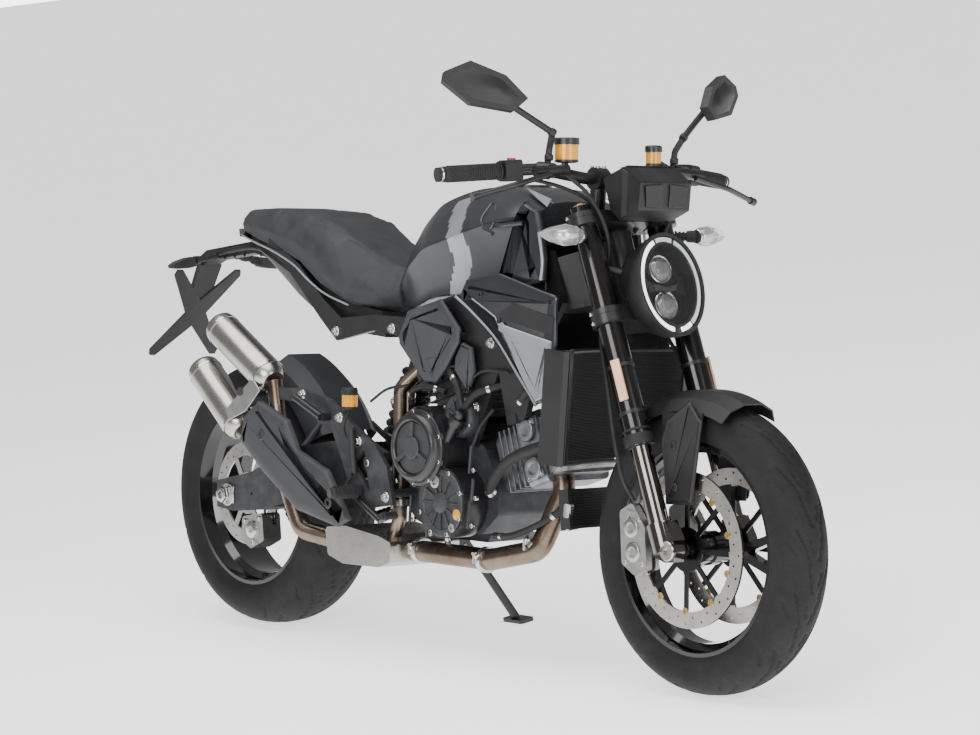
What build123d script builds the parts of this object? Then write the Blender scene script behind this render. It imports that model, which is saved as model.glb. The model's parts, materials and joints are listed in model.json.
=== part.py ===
"""A naked standard motorcycle with a V-twin engine, parked on its side stand.

Every piece is drawn on the upright machine: X forward, Y to its left, Z up, with the
rear tyre's contact point at X = 0. The finished pieces are then leaned onto the side
stand and written around the centre of the box that they stand in.
"""

from build123d import *
from math import atan2, cos, degrees, pi, radians, sin, sqrt, tan
import os

# Driving dimensions, in millimetres and degrees
wheelbase = 1492.0
lean = 10.0  # how far it leans to its left on the side stand
rake = 21.0  # steering axis from the vertical
fork_offset = 26.0  # fork legs ahead of the steering axis
axle_lead = 19.0  # front axle ahead of the fork legs
fork_half_span = 105.0  # fork leg from the middle plane
steering_lock = 30.0  # each way

front_tyre_radius = 300.0
front_tyre_half_width = 60.0
front_rim_half_width = 50.0
rear_tyre_radius = 315.0
rear_tyre_half_width = 90.0
rear_rim_half_width = 77.0
bead_radius = 219.0
flange_radius = 231.0
tyre_wall = 9.0
rim_wall = 5.0
rim_well_radius = 199.0

disc_radius = 160.0
disc_band = 34.0
disc_thickness = 5.0
disc_plane = 66.0  # each front disc from the middle plane
rear_disc_radius = 122.0
rear_disc_plane = 84.0

fork_tube_radius = 27.5
slider_radius = 21.5
front_axle_radius = 12.5
front_axle_bore = 8.5
stem_radius = 15.0
foot_height = 340.0  # heights along the fork from the ground
seal_height = 533.0
lower_yoke_height = 790.0
top_yoke_height = 1006.0
top_cap_height = 1036.0
rear_axle_radius = 14.0
rear_axle_bore = 9.0
swingarm_half_span = 142.0
arm_thickness = 24.0
pivot_radius = 13.0
chain_plane = 105.0
chain_half_width = 9.0
chain_half_height = 7.5
rear_teeth = 43
engine_teeth = 16
chain_pitch = 15.875
sprocket_half_thickness = 3.0
case_half_width = 92.0
front_cylinder_tilt = 18.0  # cylinder axes above the horizontal
rear_cylinder_tilt = 108.0
tank_half_width = 150.0
bar_half_width = 401.0
bar_radius = 12.5
light_centre = (1372, 0, 833)
plate_bolt_circle = 150.0
plate_bolt_hole = 3.0
spool_hole = 4.0  # threaded for a paddock stand's spools
spool_depth = 18.0
light_tilt = 14.6  # the headlight leans back
light_half_width = 90.0
light_half_height = 109.0
tyre_sink = 2.51  # how far below the ground line the leaned tyres reach
stand_bolt_radius = 6.0
stand_fold = 99.0
running_gap = 0.3  # between pieces that seat on each other
pin_gap = 0.08  # round a hinge pin
turning_gap = 0.5  # between turning pieces
bearing_gap = 0.08  # round an axle or stem inside what turns on it

rear_axle = Vector(0, 0, 314)
front_axle = Vector(wheelbase, 0, 299)
pivot = Vector(569, 0, 423)  # swingarm pivot
crank = Vector(800, 0, 400)
engine_sprocket = Vector(665, 0, 425)
rear_pitch_radius = chain_pitch / 2 / sin(pi / rear_teeth)
engine_pitch_radius = chain_pitch / 2 / sin(pi / engine_teeth)
sprocket_tip_radius = rear_pitch_radius - chain_half_height - turning_gap

spool_point = Vector(96, 0, 322)  # on the outside of each swingarm arm
cap_radius = 44.0
cap_plane = Plane((930, 0, 1036), x_dir=(1, 0, 0.02), z_dir=(0, 0, 1))

# Side stand: its pivot bolt leans so that the leg folds up against the machine
stand_pivot = Vector(560, 110, 240)
stand_down = Vector(0.165, 0.558, -0.814).normalized()
stand_back = Vector(-0.97, 0.20, 0.14).normalized()
stand_axis = stand_down.cross(stand_back).normalized()
stand_plane = Plane(stand_pivot, x_dir=stand_down, z_dir=stand_axis)

os.makedirs("parts", exist_ok=True)
pieces = []


def keep(piece, label):
    """Names a finished sub-part and keeps it for parking."""
    piece.part.label = label
    pieces.append(piece)


# Steering geometry: a plane on the steering axis whose Z runs up that axis
steer_up = Vector(-sin(radians(rake)), 0, cos(radians(rake)))
steer_ahead = Vector(cos(radians(rake)), 0, sin(radians(rake)))
fork_foot = front_axle - steer_ahead * (fork_offset + axle_lead)
axle_height = fork_foot.Z / cos(radians(rake))  # up the axis from the ground
steer_ground = fork_foot - steer_up * axle_height


def steer_plane(height):
    """The plane square to the steering axis at a height up it from the ground."""
    return Plane(steer_ground + steer_up * height, x_dir=steer_ahead, z_dir=steer_up)


def wheel_plane(centre, y=0.0):
    """A plane across a wheel: X forward, Y up, facing the right side, at a distance to the left."""
    return Plane((centre.X, y, centre.Z), x_dir=(1, 0, 0), z_dir=(0, -1, 0))


def side_plane(y):
    """A plane along the machine at a distance to its left, with X forward and Y up."""
    return Plane((0, y, 0), x_dir=(1, 0, 0), z_dir=(0, -1, 0))


def rod(start, end, radius, bore=0.0):
    """A round bar, or a tube, from one point to another."""
    run = Vector(*end) - Vector(*start)
    with BuildPart() as bar:
        with BuildSketch(Plane(origin=start, z_dir=run)):
            Circle(radius)
            if bore:
                Circle(bore, mode=Mode.SUBTRACT)
        extrude(amount=run.length)
    return bar.part


def cone(start, end, start_radius, end_radius):
    """A tapered bar from one point to another."""
    run = Vector(*end) - Vector(*start)
    with BuildPart() as bar:
        with BuildSketch(Plane(origin=start, z_dir=run)):
            Circle(start_radius)
        with BuildSketch(Plane(origin=end, z_dir=run)):
            Circle(end_radius)
        loft()
    return bar.part


def bent_tube(points, bend, radius, bore=0.0):
    """A tube along straight runs joined by tangent arcs."""
    with BuildPart() as tube:
        with BuildLine() as route:
            FilletPolyline(*points, radius=bend)
        with BuildSketch(Plane(origin=route.line @ 0, z_dir=route.line % 0)):
            Circle(radius)
            if bore:
                Circle(bore, mode=Mode.SUBTRACT)
        sweep()
    return tube.part


def plate(outline, y_from, y_to, corner=0.0):
    """A flat plate across the machine, drawn by its outline in side view."""
    with BuildPart() as slab:
        with BuildSketch(side_plane(y_to)) as face:
            with BuildLine():
                Polyline(*outline, close=True)
            make_face()
            if corner:
                fillet(face.vertices(), corner)
        extrude(amount=y_to - y_from)
    return slab.part


def both_sides(part):
    """The part and its mirror image on the other side of the middle plane."""
    return Part() + [part, part.mirror(Plane.XZ)]


def chain_band(offset):
    """The area inside the chain's run, grown or shrunk from its pitch line."""
    with BuildSketch(side_plane(chain_plane)) as band:
        with Locations((rear_axle.X, rear_axle.Z)):
            Circle(rear_pitch_radius + offset)
        with Locations((engine_sprocket.X, engine_sprocket.Z)):
            Circle(engine_pitch_radius + offset)
        make_hull()
    return band.sketch


def hull_section(station, half_width, low, high, shoulder, crown, belly):
    """One closed cross-section of a body panel, square to the travel, as a soft hexagon.

    shoulder is how far up the widest point lies, crown and belly are the half-widths at
    the top and the bottom as shares of the half-width.
    """
    widest = low + (high - low) * shoulder
    with BuildSketch(Plane((station, 0, 0), x_dir=(0, 1, 0), z_dir=(1, 0, 0))) as section:
        with BuildLine():
            Polyline(
                (-half_width * belly, low),
                (-half_width, widest),
                (-half_width * crown, high),
                (half_width * crown, high),
                (half_width, widest),
                (half_width * belly, low),
                close=True,
            )
        make_face()
    return section.sketch


def tyre(centre, radius, half_width, rim_half_width):
    """A tyre carcass: one revolved section, hollow over the rim."""
    drop = half_width * 0.78
    side = radius - drop
    bead = rim_half_width - rim_wall - running_gap
    with BuildPart() as carcass:
        with BuildSketch(Plane((centre.X, 0, centre.Z), x_dir=(0, 1, 0), z_dir=(1, 0, 0))):
            with BuildLine():
                crown = TangentArc(
                    (0, radius), (half_width * 0.74, radius - drop * 0.36), tangent=(1, 0)
                )
                TangentArc(crown @ 1, (half_width, side), tangent=crown % 1)
                Polyline(
                    (half_width, side),
                    (bead, flange_radius + 1),
                    (bead - 1, bead_radius),
                    (bead - 15, bead_radius),
                    (half_width - tyre_wall - 3, side),
                )
                TangentArc(
                    (0, radius - tyre_wall), (half_width - tyre_wall - 3, side), tangent=(1, 0)
                )
                mirror(about=Plane.YZ)
            make_face()
        revolve(axis=Axis((centre.X, 0, centre.Z), (0, 1, 0)))
    return carcass.part


def rim(centre, half_width, hub_half_width, hub_radius, bore_radius, spoke_half_width):
    """A cast wheel: a barrel with two flanges, a hub and five forked spokes."""
    wall = rim_wall
    well = rim_well_radius
    with BuildPart() as wheel:
        # barrel
        with BuildSketch(Plane((centre.X, 0, centre.Z), x_dir=(0, 1, 0), z_dir=(1, 0, 0))):
            with BuildLine():
                Polyline(
                    (-half_width, flange_radius),
                    (-half_width + wall, flange_radius),
                    (-half_width + wall + 1, bead_radius - running_gap),
                    (-half_width * 0.55, bead_radius - 4),
                    (-half_width * 0.35, well),
                    (half_width * 0.35, well),
                    (half_width * 0.55, bead_radius - 4),
                    (half_width - wall - 1, bead_radius - running_gap),
                    (half_width - wall, flange_radius),
                    (half_width, flange_radius),
                    (half_width, bead_radius - 8),
                    (half_width * 0.55, bead_radius - 11),
                    (half_width * 0.38, well - wall),
                    (-half_width * 0.38, well - wall),
                    (-half_width * 0.55, bead_radius - 11),
                    (-half_width, bead_radius - 8),
                    close=True,
                )
            make_face()
        revolve(axis=Axis((centre.X, 0, centre.Z), (0, 1, 0)))
        # forked spokes
        with BuildSketch(wheel_plane(centre)) as spokes:
            Circle(hub_radius + 4)
            with PolarLocations(0, 5, start_angle=90):
                with BuildLine():
                    Polyline(
                        (hub_radius - 4, -11),
                        (hub_radius + 52, -9),
                        (well - 8, -46),
                        (well - 5, -30),
                        (hub_radius + 86, 0),
                        (well - 5, 30),
                        (well - 8, 46),
                        (hub_radius + 52, 9),
                        (hub_radius - 4, 11),
                        close=True,
                    )
                make_face()
        extrude(amount=spoke_half_width, both=True)
        # hub
        with BuildSketch(wheel_plane(centre)):
            Circle(hub_radius)
        extrude(amount=hub_half_width, both=True)
        with BuildSketch(wheel_plane(centre)):
            Circle(bore_radius)
        extrude(amount=half_width * 2, both=True, mode=Mode.SUBTRACT)
    return wheel.part


def brake_ring(centre, y, radius, band, thickness, holes):
    """A drilled brake disc band."""
    with BuildPart() as ring:
        with BuildSketch(wheel_plane(centre, y)):
            Circle(radius)
            Circle(radius - band, mode=Mode.SUBTRACT)
            with PolarLocations(radius - band * 0.3, holes):
                Circle(2.6, mode=Mode.SUBTRACT)
            with PolarLocations(radius - band * 0.66, holes, start_angle=180 / holes):
                Circle(2.6, mode=Mode.SUBTRACT)
        extrude(amount=thickness / 2, both=True)
    return ring.part


# Front wheel
with BuildPart() as front_tyre:
    add(tyre(front_axle, front_tyre_radius, front_tyre_half_width, front_rim_half_width))
keep(front_tyre, "front_tyre")

with BuildPart() as front_rim:
    add(rim(front_axle, front_rim_half_width, 58, 31, front_axle_radius + bearing_gap, 11))
keep(front_rim, "front_rim")

with BuildPart() as front_discs:
    for side in (-1, 1):
        add(brake_ring(front_axle, side * disc_plane, disc_radius, disc_band, disc_thickness, 20))
        with BuildSketch(wheel_plane(front_axle, side * disc_plane)):
            Circle(46)
            with PolarLocations(0, 8):
                with Locations((88, 0)):
                    Rectangle(88, 11)
            Circle(front_axle_radius + 4, mode=Mode.SUBTRACT)
        extrude(amount=2, both=True)
        # hub flange that the carrier is bolted to
        with BuildSketch(wheel_plane(front_axle, side * (58 + running_gap))):
            Circle(40)
            Circle(front_axle_radius + 4, mode=Mode.SUBTRACT)
        extrude(amount=-side * (disc_plane - 59))
keep(front_discs, "front_discs")

# Rear wheel
with BuildPart() as rear_tyre:
    add(tyre(rear_axle, rear_tyre_radius, rear_tyre_half_width, rear_rim_half_width))
keep(rear_tyre, "rear_tyre")

with BuildPart() as rear_rim:
    add(rim(rear_axle, rear_rim_half_width, 76, 40, rear_axle_radius + bearing_gap, 14))
keep(rear_rim, "rear_rim")

with BuildPart() as rear_disc:
    add(brake_ring(rear_axle, -rear_disc_plane, rear_disc_radius, 32, disc_thickness, 16))
    with BuildSketch(wheel_plane(rear_axle, -rear_disc_plane)):
        Circle(50)
        with PolarLocations(0, 6):
            with Locations((72, 0)):
                Rectangle(50, 16)
        Circle(rear_axle_radius + 4, mode=Mode.SUBTRACT)
    extrude(amount=2, both=True)
    with BuildSketch(wheel_plane(rear_axle, -(76 + running_gap))):
        Circle(46)
        Circle(rear_axle_radius + 4, mode=Mode.SUBTRACT)
    extrude(amount=rear_disc_plane - 78)
keep(rear_disc, "rear_disc")

with BuildPart() as rear_sprocket:
    with BuildSketch(wheel_plane(rear_axle, chain_plane)):
        Circle(sprocket_tip_radius - 6)
        with PolarLocations(sprocket_tip_radius - 6, rear_teeth):
            RegularPolygon(6, 3)
        with PolarLocations(66, 6):
            Circle(16, mode=Mode.SUBTRACT)
        Circle(rear_axle_radius + 4, mode=Mode.SUBTRACT)
    extrude(amount=sprocket_half_thickness, both=True)
    with BuildSketch(wheel_plane(rear_axle, 76 + running_gap)):
        Circle(46)
        Circle(rear_axle_radius + 4, mode=Mode.SUBTRACT)
    extrude(amount=-(chain_plane - 76 - running_gap))
keep(rear_sprocket, "rear_sprocket")

with BuildPart() as rear_axle_bar:
    reach = swingarm_half_span + 3
    start, end = (0, -reach, rear_axle.Z), (0, reach, rear_axle.Z)
    add(rod(start, end, rear_axle_radius))
    for side in (-1, 1):
        with BuildSketch(wheel_plane(rear_axle, side * (swingarm_half_span + running_gap))):
            RegularPolygon(20, 6)
        extrude(amount=-side * 12)
    add(rod((0, -reach - 20, rear_axle.Z), (0, reach + 20, rear_axle.Z), rear_axle_bore),
        mode=Mode.SUBTRACT)
keep(rear_axle_bar, "rear_axle")

# Swingarm: two cast arms joined ahead of the tyre
with BuildPart() as swingarm:
    for side in (-1, 1):
        with BuildSketch(side_plane(side * (swingarm_half_span - arm_thickness))):
            with BuildLine():
                Polyline(
                    (-45, 345), (-45, 282), (20, 276), (198, 292), (400, 348), (540, 388),
                    (590, 396), (592, 446), (540, 462), (400, 462), (256, 440), (90, 372),
                    close=True,
                )
            make_face()
            with Locations((rear_axle.X, rear_axle.Z)):
                Circle(rear_axle_radius + running_gap, mode=Mode.SUBTRACT)
            with Locations((pivot.X, pivot.Z)):
                Circle(pivot_radius + running_gap, mode=Mode.SUBTRACT)
        extrude(amount=-side * arm_thickness)
        with BuildSketch(side_plane(side * swingarm_half_span)):
            with Locations((spool_point.X, spool_point.Z)):
                Circle(spool_hole)
        extrude(amount=side * spool_depth, mode=Mode.SUBTRACT)
    # cross member ahead of the tyre, inside the chain's loop
    with BuildSketch(side_plane(-(swingarm_half_span - arm_thickness))):
        with BuildLine():
            Polyline((365, 350), (430, 362), (430, 424), (372, 420), close=True)
        make_face()
    extrude(amount=-2 * (swingarm_half_span - arm_thickness))
keep(swingarm, "swingarm")

# Chain and engine sprocket line
with BuildPart() as chain:
    extrude(chain_band(chain_half_height), amount=chain_half_width, both=True)
    extrude(chain_band(-chain_half_height), amount=chain_half_width, both=True,
            mode=Mode.SUBTRACT)
keep(chain, "chain")

# Engine
with BuildPart() as crankcase:
    with BuildSketch(side_plane(0)) as case_outline:
        with BuildLine():
            Polyline(
                (612, 480), (606, 345), (650, 300), (700, 284), (880, 284), (935, 330),
                (930, 400), (890, 470), (820, 520), (700, 540), (640, 520),
                close=True,
            )
        make_face()
        fillet(case_outline.vertices(), 12)
    extrude(amount=case_half_width, both=True)
    # sump
    with BuildSketch(side_plane(0)):
        with BuildLine():
            Polyline((656, 300), (668, 262), (856, 262), (884, 300), close=True)
        make_face()
    extrude(amount=56, both=True)
    # swingarm pivot lugs
    with BuildSketch(side_plane(0)):
        with BuildLine():
            Polyline((640, 500), (575, 452), (540, 425), (575, 394), (640, 340), close=True)
        make_face()
    extrude(amount=82, both=True)
    add(rod((pivot.X, -swingarm_half_span - 6, pivot.Z),
            (pivot.X, swingarm_half_span + 6, pivot.Z), pivot_radius))
    # side stand lug and its pivot bolt
    with BuildSketch(stand_plane):
        Circle(19)
    extrude(amount=-13)
    add(rod(stand_pivot - stand_axis * 20, (650, 40, 295), 12))
    with BuildSketch(stand_plane):
        Circle(stand_bolt_radius)
    extrude(amount=14)
    with BuildSketch(stand_plane.offset(12 + 2 * running_gap)):
        Circle(10)
    extrude(amount=5)
keep(crankcase, "crankcase")

with BuildPart() as engine_covers:
    # clutch and oil covers on the right
    with BuildSketch(side_plane(-case_half_width - running_gap)):
        with Locations((750, 468)):
            Circle(90)
        with Locations((821, 352)):
            Circle(78)
    extrude(amount=66)
    # alternator cover on the left
    with BuildSketch(side_plane(case_half_width + running_gap)):
        with Locations((814, 400)):
            Circle(90)
    extrude(amount=-52)
    # engine sprocket cover, open at the back for the chain
    with BuildSketch(side_plane(chain_plane + chain_half_width + 4)):
        with Locations((engine_sprocket.X, engine_sprocket.Z)):
            Circle(60)
    extrude(amount=-20)
    with BuildSketch(side_plane(case_half_width + running_gap)):
        with Locations((engine_sprocket.X, engine_sprocket.Z)):
            Circle(60)
            Circle(52, mode=Mode.SUBTRACT)
        with Locations((engine_sprocket.X - 60, engine_sprocket.Z)):
            Rectangle(130, 130, mode=Mode.SUBTRACT)
        with Locations((814, 400)):
            Circle(91, mode=Mode.SUBTRACT)
    extrude(amount=-(chain_plane + chain_half_width + 4 - case_half_width))
    with BuildSketch(side_plane(case_half_width + running_gap)):
        with Locations((engine_sprocket.X, engine_sprocket.Z)):
            Circle(engine_pitch_radius - chain_half_height - 2)
    extrude(amount=-(chain_plane + chain_half_width + 4 - case_half_width))
keep(engine_covers, "engine_covers")

with BuildPart() as clutch_cover:
    with BuildSketch(side_plane(-case_half_width - 66 - 2 * running_gap)):
        with Locations((750, 468)):
            Circle(84)
    extrude(amount=24)
    with BuildSketch(side_plane(-case_half_width - 90 - 2 * running_gap)):
        with Locations((750, 468)):
            Circle(58)
    extrude(amount=8)
keep(clutch_cover, "clutch_cover")



def engine_cylinder(tilt):
    """A cylinder, its head and its cam cover, standing on the crankcase."""
    along = Vector(cos(radians(tilt)), 0, sin(radians(tilt)))
    with BuildPart() as stack:
        with BuildSketch(Plane(crank + along * 120, x_dir=(0, 1, 0), z_dir=along)):
            RectangleRounded(140, 130, 22)
        extrude(amount=100)
        with BuildSketch(Plane(crank + along * 220, x_dir=(0, 1, 0), z_dir=along)):
            RectangleRounded(176, 160, 14)
        extrude(amount=62)
        with BuildSketch(Plane(crank + along * 282, x_dir=(0, 1, 0), z_dir=along)):
            RectangleRounded(160, 140, 20)
        extrude(amount=34)
        add(crankcase.part, mode=Mode.SUBTRACT)
    return stack.part


with BuildPart() as front_cylinder:
    add(engine_cylinder(front_cylinder_tilt))
keep(front_cylinder, "front_cylinder")

with BuildPart() as rear_cylinder:
    add(engine_cylinder(rear_cylinder_tilt))
keep(rear_cylinder, "rear_cylinder")

# Cooling: a curved radiator behind the fork and an oil cooler below it
radiator_up = Vector(sin(radians(4.7)), 0, cos(radians(4.7)))
radiator_plane = Plane((1204, 0, 462), x_dir=radiator_up.cross(Vector(0, -1, 0)), z_dir=radiator_up)
with BuildPart() as radiator:
    with BuildSketch(radiator_plane):
        with BuildLine():
            ThreePointArc((22, -164), (-18, 0), (22, 164))
            Line((22, 164), (-8, 170))
            ThreePointArc((-8, 170), (-48, 0), (-8, -170))
            Line((-8, -170), (22, -164))
        make_face()
    extrude(amount=230)
    # oil cooler in front of the engine, below the radiator
    with BuildSketch(Plane((1130, 0, 355), x_dir=(0, 1, 0), z_dir=(1, 0, 0.12))):
        Rectangle(180, 84)
    extrude(amount=30)
keep(radiator, "radiator")

with BuildPart() as radiator_sides:
    for side in (-1, 1):
        with BuildSketch(radiator_plane.offset(-4)):
            with BuildLine():
                Polyline(
                    (-14, side * 172), (22, side * 165), (34, side * 178), (28, side * 188),
                    (-30, side * 190), (-34, side * 176), close=True,
                )
            make_face()
        extrude(amount=238)
keep(radiator_sides, "radiator_sides")

# Frame: steering head, two side castings down to the cylinder heads and the crankcase
head_low, head_high = 828, 998  # heights of the steering head up the steering axis
with BuildPart() as frame:
    for side in (-1, 1):
        with BuildSketch(side_plane(side * 112)):
            with BuildLine():
                Polyline(
                    (1118, 900), (1160, 790), (1090, 690), (1044, 548), (985, 526), (955, 640),
                    (905, 540), (872, 474), (858, 488), (866, 570), (886, 650), (820, 712),
                    (660, 700), (640, 748), (760, 790), (1000, 850), close=True,
                )
            make_face()
        extrude(amount=side * 16)
        # bosses on the front cylinder head and the crankcase
        for x, z in ((1006, 541), (864, 494)):
            add(rod((x, side * 60, z), (x, side * 114, z), 11))
    add(front_cylinder.part, mode=Mode.SUBTRACT)
    add(crankcase.part, mode=Mode.SUBTRACT)
    # box between the side castings, narrowing to the steering head
    with BuildSketch(Plane((1050, 0, 0), x_dir=(0, 1, 0), z_dir=(1, 0, 0))):
        with Locations((0, 812)):
            Rectangle(228, 70)
    with BuildSketch(Plane((1106, 0, 0), x_dir=(0, 1, 0), z_dir=(1, 0, 0))):
        with Locations((0, 822)):
            Rectangle(228, 110)
    with BuildSketch(Plane((1165, 0, 0), x_dir=(0, 1, 0), z_dir=(1, 0, 0))):
        with Locations((0, 842)):
            Rectangle(112, 120)
    with BuildSketch(Plane((1226, 0, 0), x_dir=(0, 1, 0), z_dir=(1, 0, 0))):
        with Locations((0, 862)):
            Rectangle(52, 130)
    loft(ruled=True)
    with BuildSketch(steer_plane(head_low)):
        Circle(31)
    extrude(amount=head_high - head_low)
    with BuildSketch(steer_plane(head_low - 30)):
        Circle(stem_radius + bearing_gap)
    extrude(amount=head_high - head_low + 60, mode=Mode.SUBTRACT)
    # subframe under the seat
    for side in (-1, 1):
        with BuildSketch(side_plane(side * 112)):
            with BuildLine():
                Polyline(
                    (664, 748), (664, 700), (520, 716), (383, 690), (320, 740), (200, 846),
                    (110, 900), (120, 925), (240, 862), (330, 786), (400, 742), (520, 752),
                    close=True,
                )
            make_face()
        extrude(amount=side * 14)
    for x, z in ((160, 880), (420, 722)):
        with BuildSketch(side_plane(-100)):
            with Locations((x, z)):
                Circle(11)
        extrude(amount=-200)
keep(frame, "frame")

# Fuel tank, lofted through stations along the machine
tank_stations = (
    (566, 74, 770, 852, 0.5, 0.75, 0.8),
    (640, 112, 768, 950, 0.5, 0.62, 0.8),
    (720, 132, 792, 1006, 0.52, 0.55, 0.85),
    (860, tank_half_width - 2, 806, 1038, 0.55, 0.5, 0.85),
    (1000, tank_half_width + 2, 856, 1034, 0.62, 0.5, 0.85),
    (1096, 138, 910, 1002, 0.62, 0.6, 0.9),
)
with BuildPart() as fuel_tank:
    loft([hull_section(*station) for station in tank_stations], ruled=True)
    add(frame.part, mode=Mode.SUBTRACT)
    with BuildSketch(cap_plane.offset(-14)):
        Circle(cap_radius + 1)
    extrude(amount=40, mode=Mode.SUBTRACT)
keep(fuel_tank, "fuel_tank")

# Fuel cap, hinged at its front edge
with BuildPart() as fuel_cap:
    with BuildSketch(cap_plane.offset(-14 + running_gap)):
        Circle(cap_radius)
    extrude(amount=18)
keep(fuel_cap, "fuel_cap")


# Bodywork beside and below the tank
with BuildPart() as side_panels:
    for side in (-1, 1):
        with BuildSketch(side_plane(side * 162)):
            with BuildLine():
                Polyline(
                    (1006, 852), (1206, 806), (1196, 700), (1160, 584), (1128, 572), (1012, 742),
                    (880, 800), (900, 832),
                    close=True,
                )
            make_face()
        extrude(amount=-side * 5)
        # bracket that carries the panel on the frame
        for x, z in ((1080, 760), (1020, 815)):
            with BuildSketch(side_plane(side * (112 + running_gap))):
                with Locations((x, z)):
                    Circle(9)
            extrude(amount=-side * (50 - running_gap))
keep(side_panels, "side_panels")

with BuildPart() as side_plates:
    for side in (-1, 1):
        with BuildSketch(side_plane(side * 132)):
            with BuildLine():
                Polyline(
                    (660, 764), (790, 796), (862, 716), (812, 640), (770, 606), (726, 606),
                    (640, 690), close=True,
                )
            make_face()
        extrude(amount=-side * 5)
        for x, z in ((700, 722), (840, 712)):
            with BuildSketch(side_plane(side * (112 + running_gap))):
                with Locations((x, z)):
                    Circle(9)
            extrude(amount=-side * (20 - running_gap))
keep(side_plates, "side_plates")

# Seat and tail
seat_stations = (
    (-78, 40, 944, 966, 0.5, 0.8, 0.8),
    (-20, 96, 932, 986, 0.5, 0.7, 0.9),
    (100, 122, 908, 988, 0.45, 0.7, 0.9),
    (240, 134, 868, 978, 0.45, 0.7, 0.9),
    (330, 138, 812, 956, 0.45, 0.7, 0.9),
    (420, 134, 776, 908, 0.5, 0.7, 0.9),
    (500, 106, 762, 864, 0.5, 0.7, 0.85),
    (562, 70, 762, 846, 0.5, 0.7, 0.85),
)
with BuildPart() as seat:
    loft([hull_section(*station) for station in seat_stations], ruled=True)
    add(frame.part, mode=Mode.SUBTRACT)
keep(seat, "seat")

tail_stations = (
    (-60, 42, 918, 943, 0.6, 0.9, 0.7),
    (40, 88, 872, 918, 0.6, 0.9, 0.6),
    (180, 98, 792, 880, 0.6, 0.95, 0.7),
    (330, 96, 716, 806, 0.6, 0.95, 0.8),
    (520, 92, 700, 758, 0.6, 0.95, 0.8),
)
with BuildPart() as tail:
    loft([hull_section(*station) for station in tail_stations], ruled=True)
    add(seat.part, mode=Mode.SUBTRACT)
    add(frame.part, mode=Mode.SUBTRACT)
    # tail light
    with BuildSketch(Plane((-60, 0, 930), x_dir=(0, 1, 0), z_dir=(-1, 0, 0))):
        Rectangle(60, 16)
    extrude(amount=6)
keep(tail, "tail")

with BuildPart() as plate_holder:
    with BuildSketch(side_plane(-13)):
        with BuildLine():
            Polyline(
                (30, 868), (-60, 900), (-250, 872), (-290, 850), (-410, 640), (-436, 632),
                (-440, 650), (-330, 866), (-262, 890), (-60, 916), (30, 892), close=True,
            )
        make_face()
    extrude(amount=-26)
    # number plate backing, square to the arm
    with BuildSketch(Plane((-372, 0, 750), x_dir=(0, 1, 0), z_dir=(-202, 0, 118))):
        RectangleRounded(190, 200, 14)
        with PolarLocations(plate_bolt_circle / 2, 2):
            Circle(plate_bolt_hole, mode=Mode.SUBTRACT)
    extrude(amount=-4)
    # indicator stalks and lamps
    for side in (-1, 1):
        add(rod((-212, side * 8, 884), (-212, side * 105, 862), 7))
        add(cone((-212, side * 96, 864), (-220, side * 168, 852), 17, 9))
    add(tail.part, mode=Mode.SUBTRACT)
keep(plate_holder, "plate_holder")

# Rear suspension and guard
with BuildPart() as shock:
    add(rod((470, 0, 452), (560, 0, 640), 31))
    add(rod((447, 0, 404), (572, 0, 665), 9))
    add(rod((572, -46, 665), (572, 46, 665), 8))
    add(rod((447, -30, 404), (447, 30, 404), 12))
    add(swingarm.part, mode=Mode.SUBTRACT)
    add(frame.part, mode=Mode.SUBTRACT)
keep(shock, "shock")

with BuildPart() as hugger:
    turn = radians(72)
    along = Vector(cos(turn), 0, sin(turn))
    with BuildSketch(Plane(rear_axle, x_dir=(0, 1, 0), z_dir=(sin(turn), 0, -cos(turn)))):
        with BuildLine():
            Polyline(
                (-92, 282), (-80, 326), (-46, 352), (46, 352), (80, 326), (92, 282),
                (89, 282), (77, 323), (44, 348), (-44, 348), (-77, 323), (-89, 282), close=True,
            )
        make_face()
    revolve(axis=Axis(rear_axle, (0, 1, 0)), revolution_arc=44)
    # lugs down to both arms
    for side in (-1, 1):
        add(rod((273, side * 76, 490), (284, side * 132, 440), 7))
    add(swingarm.part, mode=Mode.SUBTRACT)
keep(hugger, "hugger")

# Exhaust
with BuildPart() as exhaust_pipes:
    add(bent_tube(
        ((1064, -34, 470), (1096, -44, 392), (1052, -76, 262), (900, -84, 230),
         (600, -90, 230)), 44, 24))
    add(bent_tube(
        ((664, -70, 650), (617, -110, 590), (617, -110, 300), (590, -110, 246)), 26, 16.5))
    # link pipes to the two silencers
    add(bent_tube(
        ((420, -125, 236), (330, -168, 256), (244, -170, 420), (92, -162, 470)), 40, 22))
    add(rod((268, -169.5, 376), (212, -161, 592), 19))
    add(front_cylinder.part, mode=Mode.SUBTRACT)
    add(rear_cylinder.part, mode=Mode.SUBTRACT)
    add(crankcase.part, mode=Mode.SUBTRACT)
keep(exhaust_pipes, "exhaust_pipes")

with BuildPart() as collector:
    with BuildSketch(side_plane(-158)) as box_outline:
        with BuildLine():
            Polyline(
                (404, 268), (414, 206), (470, 190), (600, 192), (640, 206), (644, 250),
                (600, 262), (480, 276), close=True,
            )
        make_face()
        fillet(box_outline.vertices(), 10)
    extrude(amount=-198)
    add(exhaust_pipes.part, mode=Mode.SUBTRACT)
keep(collector, "collector")

with BuildPart() as silencers:
    for rear, front in (((-14, -160, 716), (206, -160, 590)), ((-84, -160, 616), (90, -160, 470))):
        run = Vector(*front) - Vector(*rear)
        with BuildSketch(Plane(rear, z_dir=run)):
            Circle(41)
        extrude(amount=run.length)
        with BuildSketch(Plane(rear, z_dir=run)):
            Circle(26)
        extrude(amount=60, mode=Mode.SUBTRACT)
    add(exhaust_pipes.part, mode=Mode.SUBTRACT)
keep(silencers, "silencers")

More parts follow.
